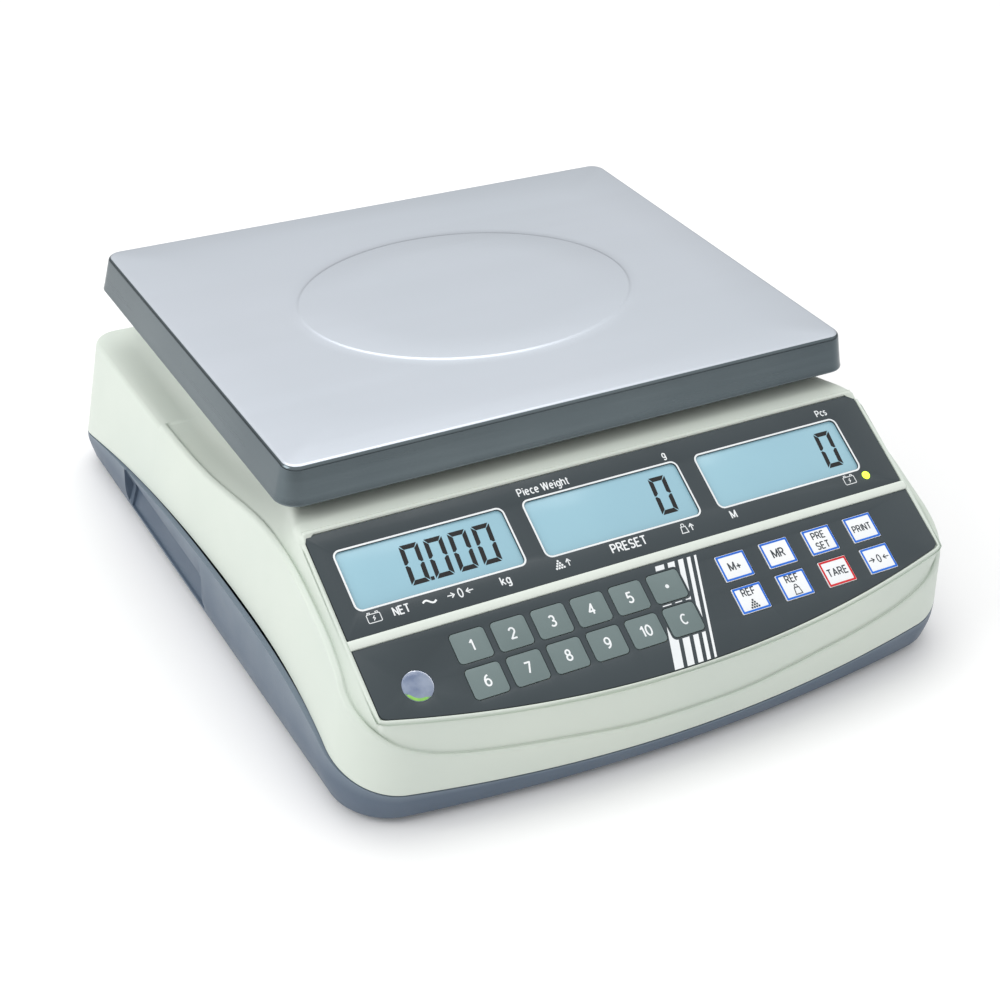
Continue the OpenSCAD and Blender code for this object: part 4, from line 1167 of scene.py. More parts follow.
batterySign(bm, -131, labelLook["row"] - 0.2, surface, 1)
textMesh(bm, "NET", 5.0 * mm, at(-118.3, labelLook["row"]), printHigh, 1, 0.95, bold=0.00006)
waveSign(bm, -105, labelLook["row"], surface, 1)
zeroSign(bm, -90.3, labelLook["row"], surface, 1, 1.0)
textMesh(bm, "kg", 5.2 * mm, at(-68.3, labelLook["row"] - 0.2), printHigh, 1, bold=0.00004)
pileSign(bm, -41.2, labelLook["row"], surface, 1, 0.95)
arrowMesh(bm, -36.6, labelLook["row"], 1.9, surface, 1, 90)
textMesh(bm, "PRESET", 5.6 * mm, at(-5, labelLook["row"]), printHigh, 1, 1.0, bold=0.00006)
weightSign(bm, 24.5, labelLook["row"], surface, 1)
arrowMesh(bm, 28.6, labelLook["row"], 1.9, surface, 1, 90)
textMesh(bm, "M", 5.0 * mm, at(52, labelLook["row"]), printHigh, 1, bold=0.00005)
batterySign(bm, 119.6, labelLook["row"] + 0.3, surface, 1)
textMesh(bm, "Piece Weight", 4.9 * mm, at(-31.5, labelLook["top"]), printHigh, 1, 1.0, bold=0.00003)
textMesh(bm, "g", 4.6 * mm, at(32.8, labelLook["top"]), printHigh, 1, bold=0.00003)
textMesh(bm, "Pcs", 4.4 * mm, at(124, labelLook["top"]), printHigh, 1, bold=0.00003)
newPiece("display_overlay_film", bm, "housing", ("display_overlay",),
         [overlayFilm, printWhite], 30)

lcdLook = {"top": -0.85, "deep": 2.2, "digitHigh": 19.0, "digitWide": 9.0, "stroke": 2.15, "pitch": 11.7,
           "slant": 0.07, "gap": 0.3, "rightGap": (9.2, 9.0, 6.4), "values": ("0.000", "0", "0")}
bm = bmesh.new()
for low, high in windowBoxes():
    plateMesh(bm, scaled([(low[0] + 0.15, low[1] + 0.15), (high[0] - 0.15, low[1] + 0.15),
                          (high[0] - 0.15, high[1] - 0.15), (low[0] + 0.15, high[1] - 0.15)]), [],
              lcdLook["top"] * mm, (lcdLook["top"] - lcdLook["deep"]) * mm, 0.1 * mm, panelFrame)
newPiece("lcd_glass", bm, "housing", ("lcd_panels",), [lcdFace], 30)


# the six lit bars of a figure nought, ends mitred
def segmentLoops(high, wide, stroke, gap):
    h, w, t = high / 2, wide / 2, stroke
    g = gap / 2
    top = [(-w + g * 1.6, h), (w - g * 1.6, h), (w - t - g * 0.6 + g, h - t),
           (-w + t + g * 0.6 - g, h - t)]
    bottom = [(x, -y) for x, y in top][::-1]
    rightTop = [(w, h - g * 1.6), (w, g * 1.2), (w - t * 0.45, g * 0.2 + 0.12),
                (w - t, t * 0.45 + g), (w - t, h - t - g * 1.3)]
    rightLow = [(x, -y) for x, y in rightTop][::-1]
    leftTop = [(-x, y) for x, y in rightTop][::-1]
    leftLow = [(-x, y) for x, y in rightLow][::-1]
    return [top, bottom, rightTop, rightLow, leftTop, leftLow]


bm = bmesh.new()
for (low, high), value, rightGap in zip(windowBoxes(), lcdLook["values"], lcdLook["rightGap"]):
    x = high[0] - rightGap - lcdLook["digitWide"] / 2
    base = Matrix.Translation((0, 0, (lcdLook["top"] + 0.01) * mm))
    for sign in value[::-1]:
        if sign == ".":
            u = windowLook["u"] - lcdLook["digitHigh"] / 2 + 0.9
            px = x + lcdLook["pitch"] / 2 - 0.3 - 0.6
            plateMesh(bm, scaled([(px - 0.85, u - 0.85), (px + 0.85, u - 0.85),
                                  (px + 0.97, u + 0.85), (px - 0.73, u + 0.85)]),
                      [], 0.05 * mm, 0, 0, panelFrame @ base)
            continue
        for loop in segmentLoops(lcdLook["digitHigh"], lcdLook["digitWide"], lcdLook["stroke"],
                                 lcdLook["gap"] * 2):
            pts = [(x + px + lcdLook["slant"] * py, windowLook["u"] + py) for px, py in loop]
            plateMesh(bm, scaled(pts), [], 0.05 * mm, 0, 0, panelFrame @ base)
        x -= lcdLook["pitch"]
newPiece("lcd_digits", bm, "housing", (), [lcdInk], 30)
print("display made")

# keypad overlay and keys
numberLook = {"w": 16.4, "h": 14.0, "corner": 1.9}
functionLook = {"w": 15.6, "h": 13.0, "corner": 0.45}
keyLook = {"gap": 0.3, "proud": 0.25, "thick": 0.85, "edge": 0.2, "outline": 0.95,
           "print": 0.03, "bold": 0.05}
numberNames = ["key_1", "key_2", "key_3", "key_4", "key_5", "key_point",
               "key_6", "key_7", "key_8", "key_9", "key_10", "key_clear"]
functionNames = ["key_memory_add", "key_memory_recall", "key_preset", "key_print",
                 "key_ref_count", "key_ref_weight", "key_tare", "key_zero"]


# the middle of a key on the panel, from its packed box
def keyCentre(name):
    low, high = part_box(name)
    c = panelFrame.inverted() @ ((low + high) / 2)
    return c.x / mm, c.y / mm


stripeLook = {"top": (-6.6, 1.9, 23.9), "foot": (-56.5, -13.1, 9.0),
              "widths": (4.6, 3.6, 2.7, 1.9, 1.2), "margin": 1.1}


# five slanting printed stripes, stopped round the two keys that stand on them
def makeStripes():
    d = stripeLook
    gaps = (d["top"][2] - d["top"][1] - sum(d["widths"])) / 4
    bm = bmesh.new()
    x0 = d["top"][1]
    shift = d["foot"][1] - d["top"][1]
    for w in d["widths"]:
        loop = [(x0 + shift, d["foot"][0]), (x0 + shift + w, d["foot"][0]), (x0 + w, d["top"][0]),
                (x0, d["top"][0])]
        plateMesh(bm, scaled(loop), [], printHigh, 0, 0, surface)
        x0 += w + gaps
    stripes = looseObject("stripes", bm)
    cutter = bmesh.new()
    for name in ("key_point", "key_clear"):
        cx, cu = keyCentre(name)
        plateMesh(cutter, scaled(roundedRect(numberLook["w"] + 2 * d["margin"],
                                             numberLook["h"] + 2 * d["margin"], 2.4, 4, (cx, cu))),
                  [], 1 * mm, -1 * mm, 0, panelFrame)
    # everything below the bowed edge
    edge = [(x, keypadEdge(x) + 0.3) for x in [-20 + 2.5 * i for i in range(13)]]
    plateMesh(cutter, scaled(edge + [(10, -70), (-20, -70)]), [], 1 * mm, -1 * mm, 0, panelFrame)
    bmesh.ops.recalc_face_normals(cutter, faces=cutter.faces[:])
    cutWith(stripes, looseObject("stripeCutter", cutter))
    return stripes


bm = bmesh.new()
keyHoles = []
for names, look in ((numberNames, numberLook), (functionNames, functionLook)):
    for name in names:
        cx, cu = keyCentre(name)
        keyHoles.append(roundedRect(look["w"] + 2 * keyLook["gap"], look["h"] + 2 * keyLook["gap"],
                                    look["corner"] + keyLook["gap"], 4, (cx, cu)))
plateMesh(bm, scaled(keypadOutline()), [scaled(h) for h in keyHoles]
          + [scaled(ringPoints(levelLook["r"], 40, (levelLook["x"], levelLook["u"])))],
          0, -overlayThick, 0.12 * mm, panelFrame)
stripes = makeStripes()
mergeFrom(bm, stripes, 1)
newPiece("keypad_overlay_film", bm, "housing", ("keypad_overlay",),
         [overlayFilm, printWhite], 30)
print("keypad overlay made")


def makeKey(name, legend, look, materials):
    cx, cu = keyCentre(name)
    bm = bmesh.new()
    top = keyLook["proud"]
    outlineLoop = roundedRect(look["w"], look["h"], look["corner"], 5, (cx, cu))
    plateMesh(bm, scaled(outlineLoop), [], top * mm, (top - keyLook["thick"]) * mm,
              keyLook["edge"] * mm, panelFrame, 0, 3)
    face = panelFrame @ Matrix.Translation((0, 0, (top + 0.002) * mm))
    here = face @ Matrix.Translation((cx * mm, cu * mm, 0))
    if look is functionLook:
        reach = keyLook["edge"] + 0.02
        outer = roundedRect(look["w"] - 2 * reach, look["h"] - 2 * reach, 0.4, 3, (cx, cu))
        reach += keyLook["outline"]
        inner = roundedRect(look["w"] - 2 * reach, look["h"] - 2 * reach, 0.3, 3, (cx, cu))
        plateMesh(bm, scaled(outer), [scaled(inner)], 0.045 * mm, 0, 0,
                  face @ Matrix.Translation((0, 0, 0.012 * mm)), 2)
    legend(bm, here)
    return newPiece(name + "_cap", bm, name, (name,), materials, 30)


def figure(words, size=6.6, wide=1.0, up=0.0):
    def draw(bm, here):
        place = here @ Matrix.Translation((0, up * mm, 0))
        textMesh(bm, words, size * mm, place, keyLook["print"] * mm, 1, wide, bold=keyLook["bold"] * mm)
    return draw


def dotSign(bm, here):
    plateMesh(bm, scaled(ringPoints(0.95, 20)), [], keyLook["print"] * mm, 0, 0, here, 1)


def refPile(bm, here):
    figure("REF", 4.7, up=3.3)(bm, here)
    pileSign(bm, 0, -2.6, here, 1, 0.95)


def refWeight(bm, here):
    figure("REF", 4.7, up=3.3)(bm, here)
    weightSign(bm, 0, -2.4, here, 1, 1.05)


def presetSign(bm, here):
    figure("PRE", 4.6, up=2.6)(bm, here)
    figure("SET", 4.6, up=-2.6)(bm, here)


def zeroKey(bm, here):
    zeroSign(bm, 0, 0, here, 1, 0.92)


legends = {"key_point": dotSign, "key_clear": figure("C", 6.2), "key_memory_add": figure("M+", 5.4),
           "key_memory_recall": figure("MR", 5.6), "key_preset": presetSign,
           "key_print": figure("PRINT", 4.4, 0.98),
           "key_ref_count": refPile, "key_ref_weight": refWeight, "key_tare": figure("TARE", 4.9),
           "key_zero": zeroKey}
for name in numberNames:
    legend = legends.get(name) or figure(name.split("_")[1])
    makeKey(name, legend, numberLook, [numberGrey, printWhite])
for name in functionNames:
    ring = outlineRed if name == "key_tare" else outlineBlue
    makeKey(name, legends[name], functionLook, [functionWhite, printDark, ring])
print("keys made")

# level, lamp
levelPlace = surface @ Matrix.Translation((levelLook["x"] * mm, levelLook["u"] * mm, 0))
# the window's blue-grey colour, with its lighter and darker patches, is partly painted reflection and partly the
# air under the glass
levelGlass = finish("levelGlass", paint(168, 182, 206), paint(120, 138, 172), (0.05, 0.12),
                    patch=120, grain=2600,
                    bump=0.01, coat=0.6, clear=0.35)
# the liquid's faint green glow is painted light: it has no lamp
levelLiquid = finish("levelLiquid", paint(150, 200, 84), paint(120, 178, 84), (0.08, 0.16),
                     patch=200, grain=2600,
                     bump=0.01, coat=0.4, glow=(paint(130, 200, 80), 0.1))
r = levelLook["r"] - 0.06
dome = [(0, 0.55)] + [(r * math.sin(math.pi / 2 * i / 10),
                       -0.25 + 0.8 * math.cos(math.pi / 2 * i / 10)) for i in range(1, 10)]
dome += [(r, -0.45), (r, -4.6), (r + 1.1, -4.6), (r + 1.1, -5.0), (0, -5.0)]
bm = bmesh.new()
lathe(bm, [(a * mm, b * mm) for a, b in dome], levelPlace, 48)
# the liquid stands against the low side of the sloped window
crescent = []
for i in range(13):
    a = math.radians(-166 + 104 * i / 12)
    crescent.append(((r - 0.25) * math.cos(a), (r - 0.25) * math.sin(a)))
for i in range(13):
    t = 1 - i / 12
    a = math.radians(-166 + 104 * t)
    k = 1 - 0.3 * math.sin(math.pi * t) ** 0.8
    crescent.append(((r - 0.25) * math.cos(a) * k, (r - 0.25) * math.sin(a) * k))
liquidBm = bmesh.new()
plateMesh(liquidBm, scaled(crescent), [], 0.62 * mm, 0.1 * mm, 0.05 * mm,
          levelPlace @ Matrix.Translation((0, 0, -0.38 * mm)))
newPiece("level_window_glass", bm, "housing", ("level_window",), [levelGlass], 40)
newPiece("level_liquid_edge", liquidBm, "housing", (), [levelLiquid], 40)

lampGreen = finish("lampGreen", paint(196, 240, 60), paint(180, 230, 50), (0.2, 0.3), patch=300,
                   grain=2600, bump=0.01,
                   coat=0.4, glow=(paint(190, 245, 50), 2.6))
lampPlace = surface @ Matrix.Translation((lampLook["x"] * mm, lampLook["u"] * mm, 0))
rl = lampLook["r"] - 0.02
lampProfile = [(0, 0.5)] + [(rl * math.sin(math.pi / 2 * i / 6),
                             0.5 * math.cos(math.pi / 2 * i / 6)) for i in range(1, 7)]
lampProfile += [(rl, -6.0), (0, -6.0)]
bm = bmesh.new()
lathe(bm, [(a * mm, b * mm) for a, b in lampProfile], lampPlace, 32)
newPiece("status_lamp", bm, "housing", ("status_led",), [lampGreen], 40)
print("level and lamp made")

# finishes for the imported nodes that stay
castAluminium = finish("castAluminium", paint(168, 172, 174), paint(150, 155, 158), (0.45, 0.62),
                       metal=1.0, patch=25,
                       grain=700, bump=0.35, edgeTint=0.3, edgeTintColour=paint(205, 208, 210))
cellAluminium = finish("cellAluminium", paint(200, 203, 206), paint(190, 194, 198), (0.25, 0.36),
                       metal=1.0, patch=10,
                       grain=500, bump=0.08, stretch=(0.1, 5, 5), edgeTint=0.3,
                       edgeTintColour=paint(230, 232, 234))
screwSteel = finish("screwSteel", paint(176, 180, 184), paint(160, 165, 170), (0.22, 0.34),
                    metal=1.0, patch=80,
                    grain=1600, bump=0.05, edgeTint=0.4, edgeTintColour=paint(220, 222, 225))
boltBlack = finish("boltBlack", paint(46, 47, 50), paint(34, 35, 38), (0.35, 0.5), metal=0.8,
                   patch=80, grain=1800,
                   bump=0.08, edgeTint=0.5, edgeTintColour=paint(110, 112, 116))
boardGreen = finish("boardGreen", paint(22, 88, 58), paint(16, 74, 50), (0.3, 0.42), patch=60,
                    grain=900, bump=0.12, coat=0.3)
circuitFilm = finish("circuitFilm", paint(196, 186, 140), paint(180, 170, 126), (0.3, 0.42),
                     patch=60, grain=900, bump=0.04)
batteryCase = finish("batteryCase", paint(44, 45, 48), paint(36, 37, 40), (0.45, 0.6), patch=30,
                     grain=1200, bump=0.2,
                     edgeTint=0.3, edgeTintColour=paint(90, 92, 96))
switchBlack = finish("switchBlack", paint(30, 31, 33), paint(24, 25, 27), (0.3, 0.42), patch=90,
                     grain=1500, bump=0.1,
                     edgeTint=0.35, edgeTintColour=paint(80, 82, 86))
leadRubber = finish("leadRubber", paint(36, 36, 38), paint(28, 28, 30), (0.5, 0.65), patch=60,
                    grain=1300, bump=0.12)
blackRubber = finish("blackRubber", paint(40, 41, 43), paint(30, 31, 33), (0.62, 0.78), patch=50,
                     grain=1100, bump=0.25, specks=0.3)
ribbonGrey = finish("ribbonGrey", paint(160, 164, 168), paint(146, 150, 155), (0.4, 0.52), patch=60,
                    grain=700,
                    bump=0.3, stretch=(4, 0.2, 0.2))
backlightWhite = finish("backlightWhite", paint(236, 238, 236), paint(226, 229, 228), (0.3, 0.42),
                        patch=40, grain=900, bump=0.05)
vialLiquid = finish("vialLiquid", paint(150, 220, 70), paint(130, 205, 60), (0.08, 0.16), patch=100,
                    grain=2000, bump=0.01,
                    coat=0.4, clear=0.3)
slotFinish = {"base_plastic": basePlastic, "cover_plastic": coverPlastic, "pan_steel": panSteel,
              "cast_aluminium": castAluminium, "load_cell_aluminium": cellAluminium,
              "screw_steel": screwSteel,
              "black_bolts": boltBlack, "overlay_film": overlayFilm, "circuit_film": circuitFilm,
              "dome_steel": screwSteel, "display_glass": lcdFace, "backlight_white": backlightWhite,
              "board_green": boardGreen, "lamp_green": lampGreen, "level_clear": levelGlass,
              "level_liquid": vialLiquid, "battery_case": batteryCase, "switch_black": switchBlack,
              "lead_rubber": leadRubber, "ribbon_grey": ribbonGrey, "black_rubber": blackRubber,
              "number_key_grey": numberGrey, "function_key_white": functionWhite,
              "tare_key_white": functionWhite}
for part in frame["record"]["subparts"]:
    node = frame["nodes"][part["node"]]
    node.data.materials.clear()
    node.data.materials.append(slotFinish[part["material_slot"]])
print("packed nodes finished")

# base housing
baseLook = {"wall": 2.5, "gap": 0.4, "foot": 3.0, "round": 2.4, "tuckSide": 5.0, "tuckFront": 3.0,
            "tuckTop": 16.0,
            "gripY": (-3, 101), "gripLow": 6.5, "gripDeep": 7, "gripHigh": 26}
feetPlaces = [(sx * 125, y) for sx in (-1, 1) for y in (-148, 142)]
casePlaces = [(sx * x, y) for sx in (-1, 1) for x,
              y in ((140, rearY - 10), (138, -42), (95, frontY + 23))]
chassisPlaces = [(-104, 79.5), (-104, 3.5), (56, 79.5), (56, 3.5)]
boardPlaces = [(sx * 55, -98 + sy * 33) for sx in (-1, 1) for sy in (-1, 1)]
doorLow, doorHigh = (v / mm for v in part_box("battery_door"))
doorMid = ((doorLow.x + doorHigh.x) / 2, (doorLow.y + doorHigh.y) / 2)
doorWide, doorLong = doorHigh.x - doorLow.x, doorHigh.y - doorLow.y
switchLow, switchHigh = (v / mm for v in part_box("power_switch_body"))
switchMid = ((switchLow.x + switchHigh.x) / 2, (switchLow.y + switchHigh.y) / 2)


# a turned ring's closed profile
def shell(r0, r1, z0, z1):
    return [(r * mm, z * mm) for r, z in ((r0, z0), (r1, z0), (r1, z1), (r0, z1), (r0, z0))]


def standing(x, y, z=0.0):
    return Matrix.Translation((x * mm, y * mm, z * mm))


# a closed solid through outlines in X-Z given as (y, [(x, z), ...])
def loftAlongY(sections):
    bm = bmesh.new()
    rings = [[bm.verts.new((x * mm, y * mm, z * mm)) for x, z in pts] for y, pts in sections]
    for a, b in zip(rings, rings[1:]):
        for i in range(len(a)):
            j = (i + 1) % len(a)
            bm.faces.new((a[i], a[j], b[j], b[i]))
    bm.faces.new(rings[0][::-1])
    bm.faces.new(rings[-1])
    bmesh.ops.recalc_face_normals(bm, faces=bm.faces[:])
    return bm


def joinTo(piece, other, operation):
    mod = piece.modifiers.new("join", "BOOLEAN")
    mod.operation = operation
    mod.solver = "EXACT"
    mod.object = other
    bakeModifiers(piece)
    bpy.data.objects.remove(other)


def baseSection(s):
    d = baseLook
    p, o = planAt(s)
    zs = seamZ(p.y) - d["gap"]
    side = ease(marks[0] - 8, marks[1] + 6, s) * (1 - ease(marks[2] - 2, marks[3] + 2, s))
    tuck = d["tuckFront"] + (d["tuckSide"] - d["tuckFront"]) * side
    top = min(d["tuckTop"] * side + 12 * (1 - side), zs - 2)
    footIn = tuck * (1 - d["foot"] / max(top, 9))
    points = [moved(s, 0, zs), moved(s, 0, top), moved(s, footIn, d["foot"]),
              moved(s, footIn + 7, d["foot"])]
    return filletPath(points, [0, 5.0, d["round"], 0], 4)


def makeBase():
    d = baseLook
    bm = bmesh.new()
    stops = (spread(0, marks[0], 7) + spread(marks[0], marks[1], 2.2) + spread(marks[1], marks[2], 6)
             + spread(marks[2], marks[3], 2.2) + spread(marks[3], marks[4], 12) + [marks[4]])
    grid = loftRing(bm, [baseSection(s) for s in stops])
    holes = [roundedRect(doorWide + 0.8, doorLong + 0.8, 3.4, 4, doorMid),
             roundedRect(switchHigh.x - switchLow.x - 1.8, switchHigh.y - switchLow.y - 1.8, 0.8, 2,
                         switchMid)]
    holes += [ringPoints(11.5, 40, at) for at in feetPlaces] + [ringPoints(3.7, 20, at)
        for at in casePlaces]
    fillFlat(bm, [[row[-1] for row in grid]] + [ringFrom(bm, h, d["foot"]) for h in holes])
    bmesh.ops.remove_doubles(bm, verts=bm.verts[:], dist=1e-6)
    bmesh.ops.recalc_face_normals(bm, faces=bm.faces[:])
    # an open tray: its outside faces look down and out
    lowest = min(bm.faces, key=lambda f: f.calc_center_median().z)
    if lowest.normal.z > 0:
        bmesh.ops.reverse_faces(bm, faces=bm.faces[:])
    base = looseObject("base", bm)
    thick = base.modifiers.new("wall", "SOLIDIFY")
    thick.thickness = d["wall"] * mm
    thick.offset = -1
    bakeModifiers(base)
    # finger grips: a liner joined to each side, then its space cut out
    xIn = halfWide - d["gripDeep"]
    low, w = d["gripLow"], d["wall"]
    for side in (-1, 1):
        sections = []
        for i in range(13):
            y = d["gripY"][0] - w + (d["gripY"][1] - d["gripY"][0] + 2 * w) * i / 12
            top = min(low + d["gripHigh"] + w, seamZ(y) - d["gap"] - 0.1)
            pts = [(halfWide - 4.4, low - w + 0.6), (xIn - w + 4, low - w + 0.6),
                   (xIn - w, low + 14), (xIn - w + 2, top - 3),
                   (xIn - w + 5, top), (halfWide - 1.2, top), (halfWide - 1.2, low + 9.5)]
            sections.append((y, [(side * x, z) for x, z in pts]))
        joinTo(base, looseObject("liner", loftAlongY(sections)), "UNION")
        out = halfWide + 5
        cutter = loftAlongY([(y, [(side * x, z) for x,
                                  z in ((out, low - 1.2), (xIn + 4, low), (xIn, low + 14),
                                                             (xIn + 5, low + d["gripHigh"]),
                                                             (out, low + d["gripHigh"] + 0.4))])
                             for y in d["gripY"]])
        bmesh.ops.bevel(cutter, geom=cutter.edges[:], offset=2.4 * mm, segments=3, affect="EDGES",
                        clamp_overlap=True)
        joinTo(base, looseObject("gripSpace", cutter), "DIFFERENCE")
    bm = bmesh.new()
    mergeFrom(bm, base)
    for at in feetPlaces:
        cup = [(4.05, 6.95), (11.5, 6.95), (11.5, 3.2), (14, 3.2), (14, 9.5), (7, 9.5), (7, 22),
               (4.05, 22), (4.05, 6.95)]
        lathe(bm, [(r * mm, z * mm) for r, z in cup], standing(*at), 40)
    for at in casePlaces:
        lathe(bm, shell(1.9, 5.2, 4.0, 5.4), standing(*at), 20)
    for at in chassisPlaces:
        lathe(bm, shell(1.5, 4.5, 5.4, 8.45), standing(*at), 24)
    for at in boardPlaces:
        lathe(bm, shell(1.5, 4.5, 5.4, 11.45), standing(*at), 24)
    plateMesh(bm, scaled(roundedRect(doorWide + 3, doorLong + 3, 4, 4, doorMid)),
              [scaled(roundedRect(doorWide - 5, doorLong - 5, 3, 4, doorMid))], 5.45 * mm, 4.9 * mm)
    bmesh.ops.remove_doubles(bm, verts=bm.verts[:], dist=1e-6)
    bmesh.ops.recalc_face_normals(bm, faces=bm.faces[:])
    return bm


base = newPiece("base_tray", makeBase(), "housing", ("base_housing",), [basePlastic], 30)
print("base made", len(base.data.polygons))


# repeated details, each from one Geometry Nodes tree
# instances one small piece on given points, round a circle or along a line
def detailTree(kind):
    tree = bpy.data.node_groups.new("detail" + kind, "GeometryNodeTree")
    face = tree.interface
    sockets = {}
    for name, form in (("Geometry", "NodeSocketGeometry"), ("Piece", "NodeSocketObject"),
                       ("Finish", "NodeSocketMaterial"),
                       ("Count", "NodeSocketInt"), ("Reach", "NodeSocketFloat"),
                       ("Turn", "NodeSocketFloat")):
        sockets[name] = face.new_socket(name=name, in_out="INPUT", socket_type=form).identifier
    face.new_socket(name="Geometry", in_out="OUTPUT", socket_type="NodeSocketGeometry")
    nodes, links = tree.nodes, tree.links
    start, end = nodes.new("NodeGroupInput"), nodes.new("NodeGroupOutput")
    place = nodes.new("GeometryNodeInstanceOnPoints")
    info = nodes.new("GeometryNodeObjectInfo")
    links.new(start.outputs["Piece"], info.inputs["Object"])
    links.new(info.outputs["Geometry"], place.inputs["Instance"])
    index = nodes.new("GeometryNodeInputIndex")
    turn = nodes.new("ShaderNodeMath")
    turn.operation = "MULTIPLY"
    links.new(index.outputs["Index"], turn.inputs[0])
    links.new(start.outputs["Turn"], turn.inputs[1])
    spin = nodes.new("ShaderNodeCombineXYZ")
    links.new(turn.outputs[0], spin.inputs["Z"])
    links.new(spin.outputs[0], place.inputs["Rotation"])
    if kind == "Points":
        links.new(start.outputs["Geometry"], place.inputs["Points"])
    elif kind == "Ring":
        circle = nodes.new("GeometryNodeMeshCircle")
        links.new(start.outputs["Count"], circle.inputs["Vertices"])
        links.new(start.outputs["Reach"], circle.inputs["Radius"])
        links.new(circle.outputs["Mesh"], place.inputs["Points"])
    else:
        line = nodes.new("GeometryNodeMeshLine")
        links.new(start.outputs["Count"], line.inputs["Count"])
        gap = nodes.new("ShaderNodeCombineXYZ")
        links.new(start.outputs["Reach"], gap.inputs["Y"])
        links.new(gap.outputs[0], line.inputs["Offset"])
        links.new(line.outputs["Mesh"], place.inputs["Points"])
    real = nodes.new("GeometryNodeRealizeInstances")
    links.new(place.outputs["Instances"], real.inputs["Geometry"])
    paintNode = nodes.new("GeometryNodeSetMaterial")
    links.new(real.outputs["Geometry"], paintNode.inputs["Geometry"])
    links.new(start.outputs["Finish"], paintNode.inputs["Material"])
    links.new(paintNode.outputs["Geometry"], end.inputs["Geometry"])
    return tree, sockets


detailTrees = {kind: detailTree(kind) for kind in ("Points", "Ring", "Line")}


# the evaluated mesh of a detail tree, as an object standing at place's frame
def detailMesh(kind, piece, finishMaterial, points=(), count=0, reach=0.0, turn=0.0, place=None,
               name="detail"):
    mesh = bpy.data.meshes.new(name)
    mesh.from_pydata([(x * mm, y * mm, z * mm) for x, y, z in points], [], [])
    holder = bpy.data.objects.new(name, mesh)
    bpy.context.scene.collection.objects.link(holder)
    tree, sockets = detailTrees[kind]
    mod = holder.modifiers.new("detail", "NODES")
    mod.node_group = tree
    for key, value in (("Piece", piece), ("Finish", finishMaterial), ("Count", count),
                       ("Reach", reach * mm), ("Turn", turn)):
        mod[sockets[key]] = value
    holder.update_tag()
    bpy.context.view_layer.update()
    bakeModifiers(holder)
    if place:
        holder.data.transform(place)
    bpy.data.objects.remove(piece)
    return holder


# a cross-recessed screw, head up from z = 0 and shank below
def screwSeed(headR, headHigh, shankR, shankLong, flip=False):
    bm = bmesh.new()
    profile = [(0, headHigh)] + [(headR * math.sin(a), headHigh * (0.45 + 0.55 * math.cos(a)))
                                 for a in [math.pi / 2 * i / 5 for i in range(1, 6)]]
    profile += [(headR, 0), (shankR, 0)]
    z = 0.0
    while z > -shankLong + 1.2:
        profile += [(shankR, z - 0.15), (shankR * 0.82, z - 0.4), (shankR, z - 0.65)]
        z -= 0.7
    profile += [(shankR * 0.8, -shankLong + 0.4), (0, -shankLong)]
    lathe(bm, [(r * mm, h * mm) for r, h in profile], None, 24)
    bmesh.ops.recalc_face_normals(bm, faces=bm.faces[:])
    seed = looseObject("screwSeed", bm)
    cross = bmesh.new()
    w, r = headR * 0.13, headR * 0.55
    plus = [(w, w), (w, r), (-w, r), (-w, w), (-r, w), (-r, -w), (-w, -w), (-w, -r), (w, -r),
            (w, -w), (r, -w), (r, w)]
    plateMesh(cross, scaled(plus), [], (headHigh + 1) * mm, headHigh * 0.35 * mm)
    bmesh.ops.recalc_face_normals(cross, faces=cross.faces[:])
    joinTo(seed, looseObject("cross", cross), "DIFFERENCE")
    if flip:
        seed.data.transform(Matrix.Rotation(math.pi, 4, "X"))
    return seed


screwLook = {"head": 3.15, "high": 1.75, "shank": 1.45, "caseLong": 14.4, "caseZ": 3.98,
             "chassisLong": 7.9, "chassisZ": 13.52, "boardLong": 7.5, "boardZ": 13.12}
d = screwLook
bm = bmesh.new()
for kind, places, turn in (("case", casePlaces, 0.7), ("chassis", chassisPlaces, 1.1),
                           ("board", boardPlaces, 0.9)):
    seed = screwSeed(d["head"], d["high"], d["shank"], d[kind + "Long"], kind == "case")
    points = [(x, y, d[kind + "Z"]) for x, y in places]
    mergeFrom(bm, detailMesh("Points", seed, screwSteel, points, turn=turn))
newPiece("screw_set", bm, "housing", ("screws",), [screwSteel], 30)


# hexagon-socket bolts, heads standing on z
def capBolts(places, headR, headHigh, shankR, z, zFoot):
    bm = bmesh.new()
    profile = [(0, headHigh), (headR - 0.5, headHigh), (headR, headHigh - 0.5), (headR, 0),
               (shankR, 0), (shankR, zFoot - z + 0.4),
               (shankR - 0.4, zFoot - z), (0, zFoot - z)]
    lathe(bm, [(r * mm, h * mm) for r, h in profile], None, 28)
    bmesh.ops.recalc_face_normals(bm, faces=bm.faces[:])
    seed = looseObject("boltSeed", bm)
    hexBm = bmesh.new()
    plateMesh(hexBm, scaled(ringPoints(headR * 0.52, 6)), [], (headHigh + 1) * mm, headHigh * 0.4 * mm)
    bmesh.ops.recalc_face_normals(hexBm, faces=hexBm.faces[:])
    joinTo(seed, looseObject("hexagon", hexBm), "DIFFERENCE")
    return detailMesh("Points", seed, boltBlack, [(x, y, z) for x, y in places], turn=0.5)


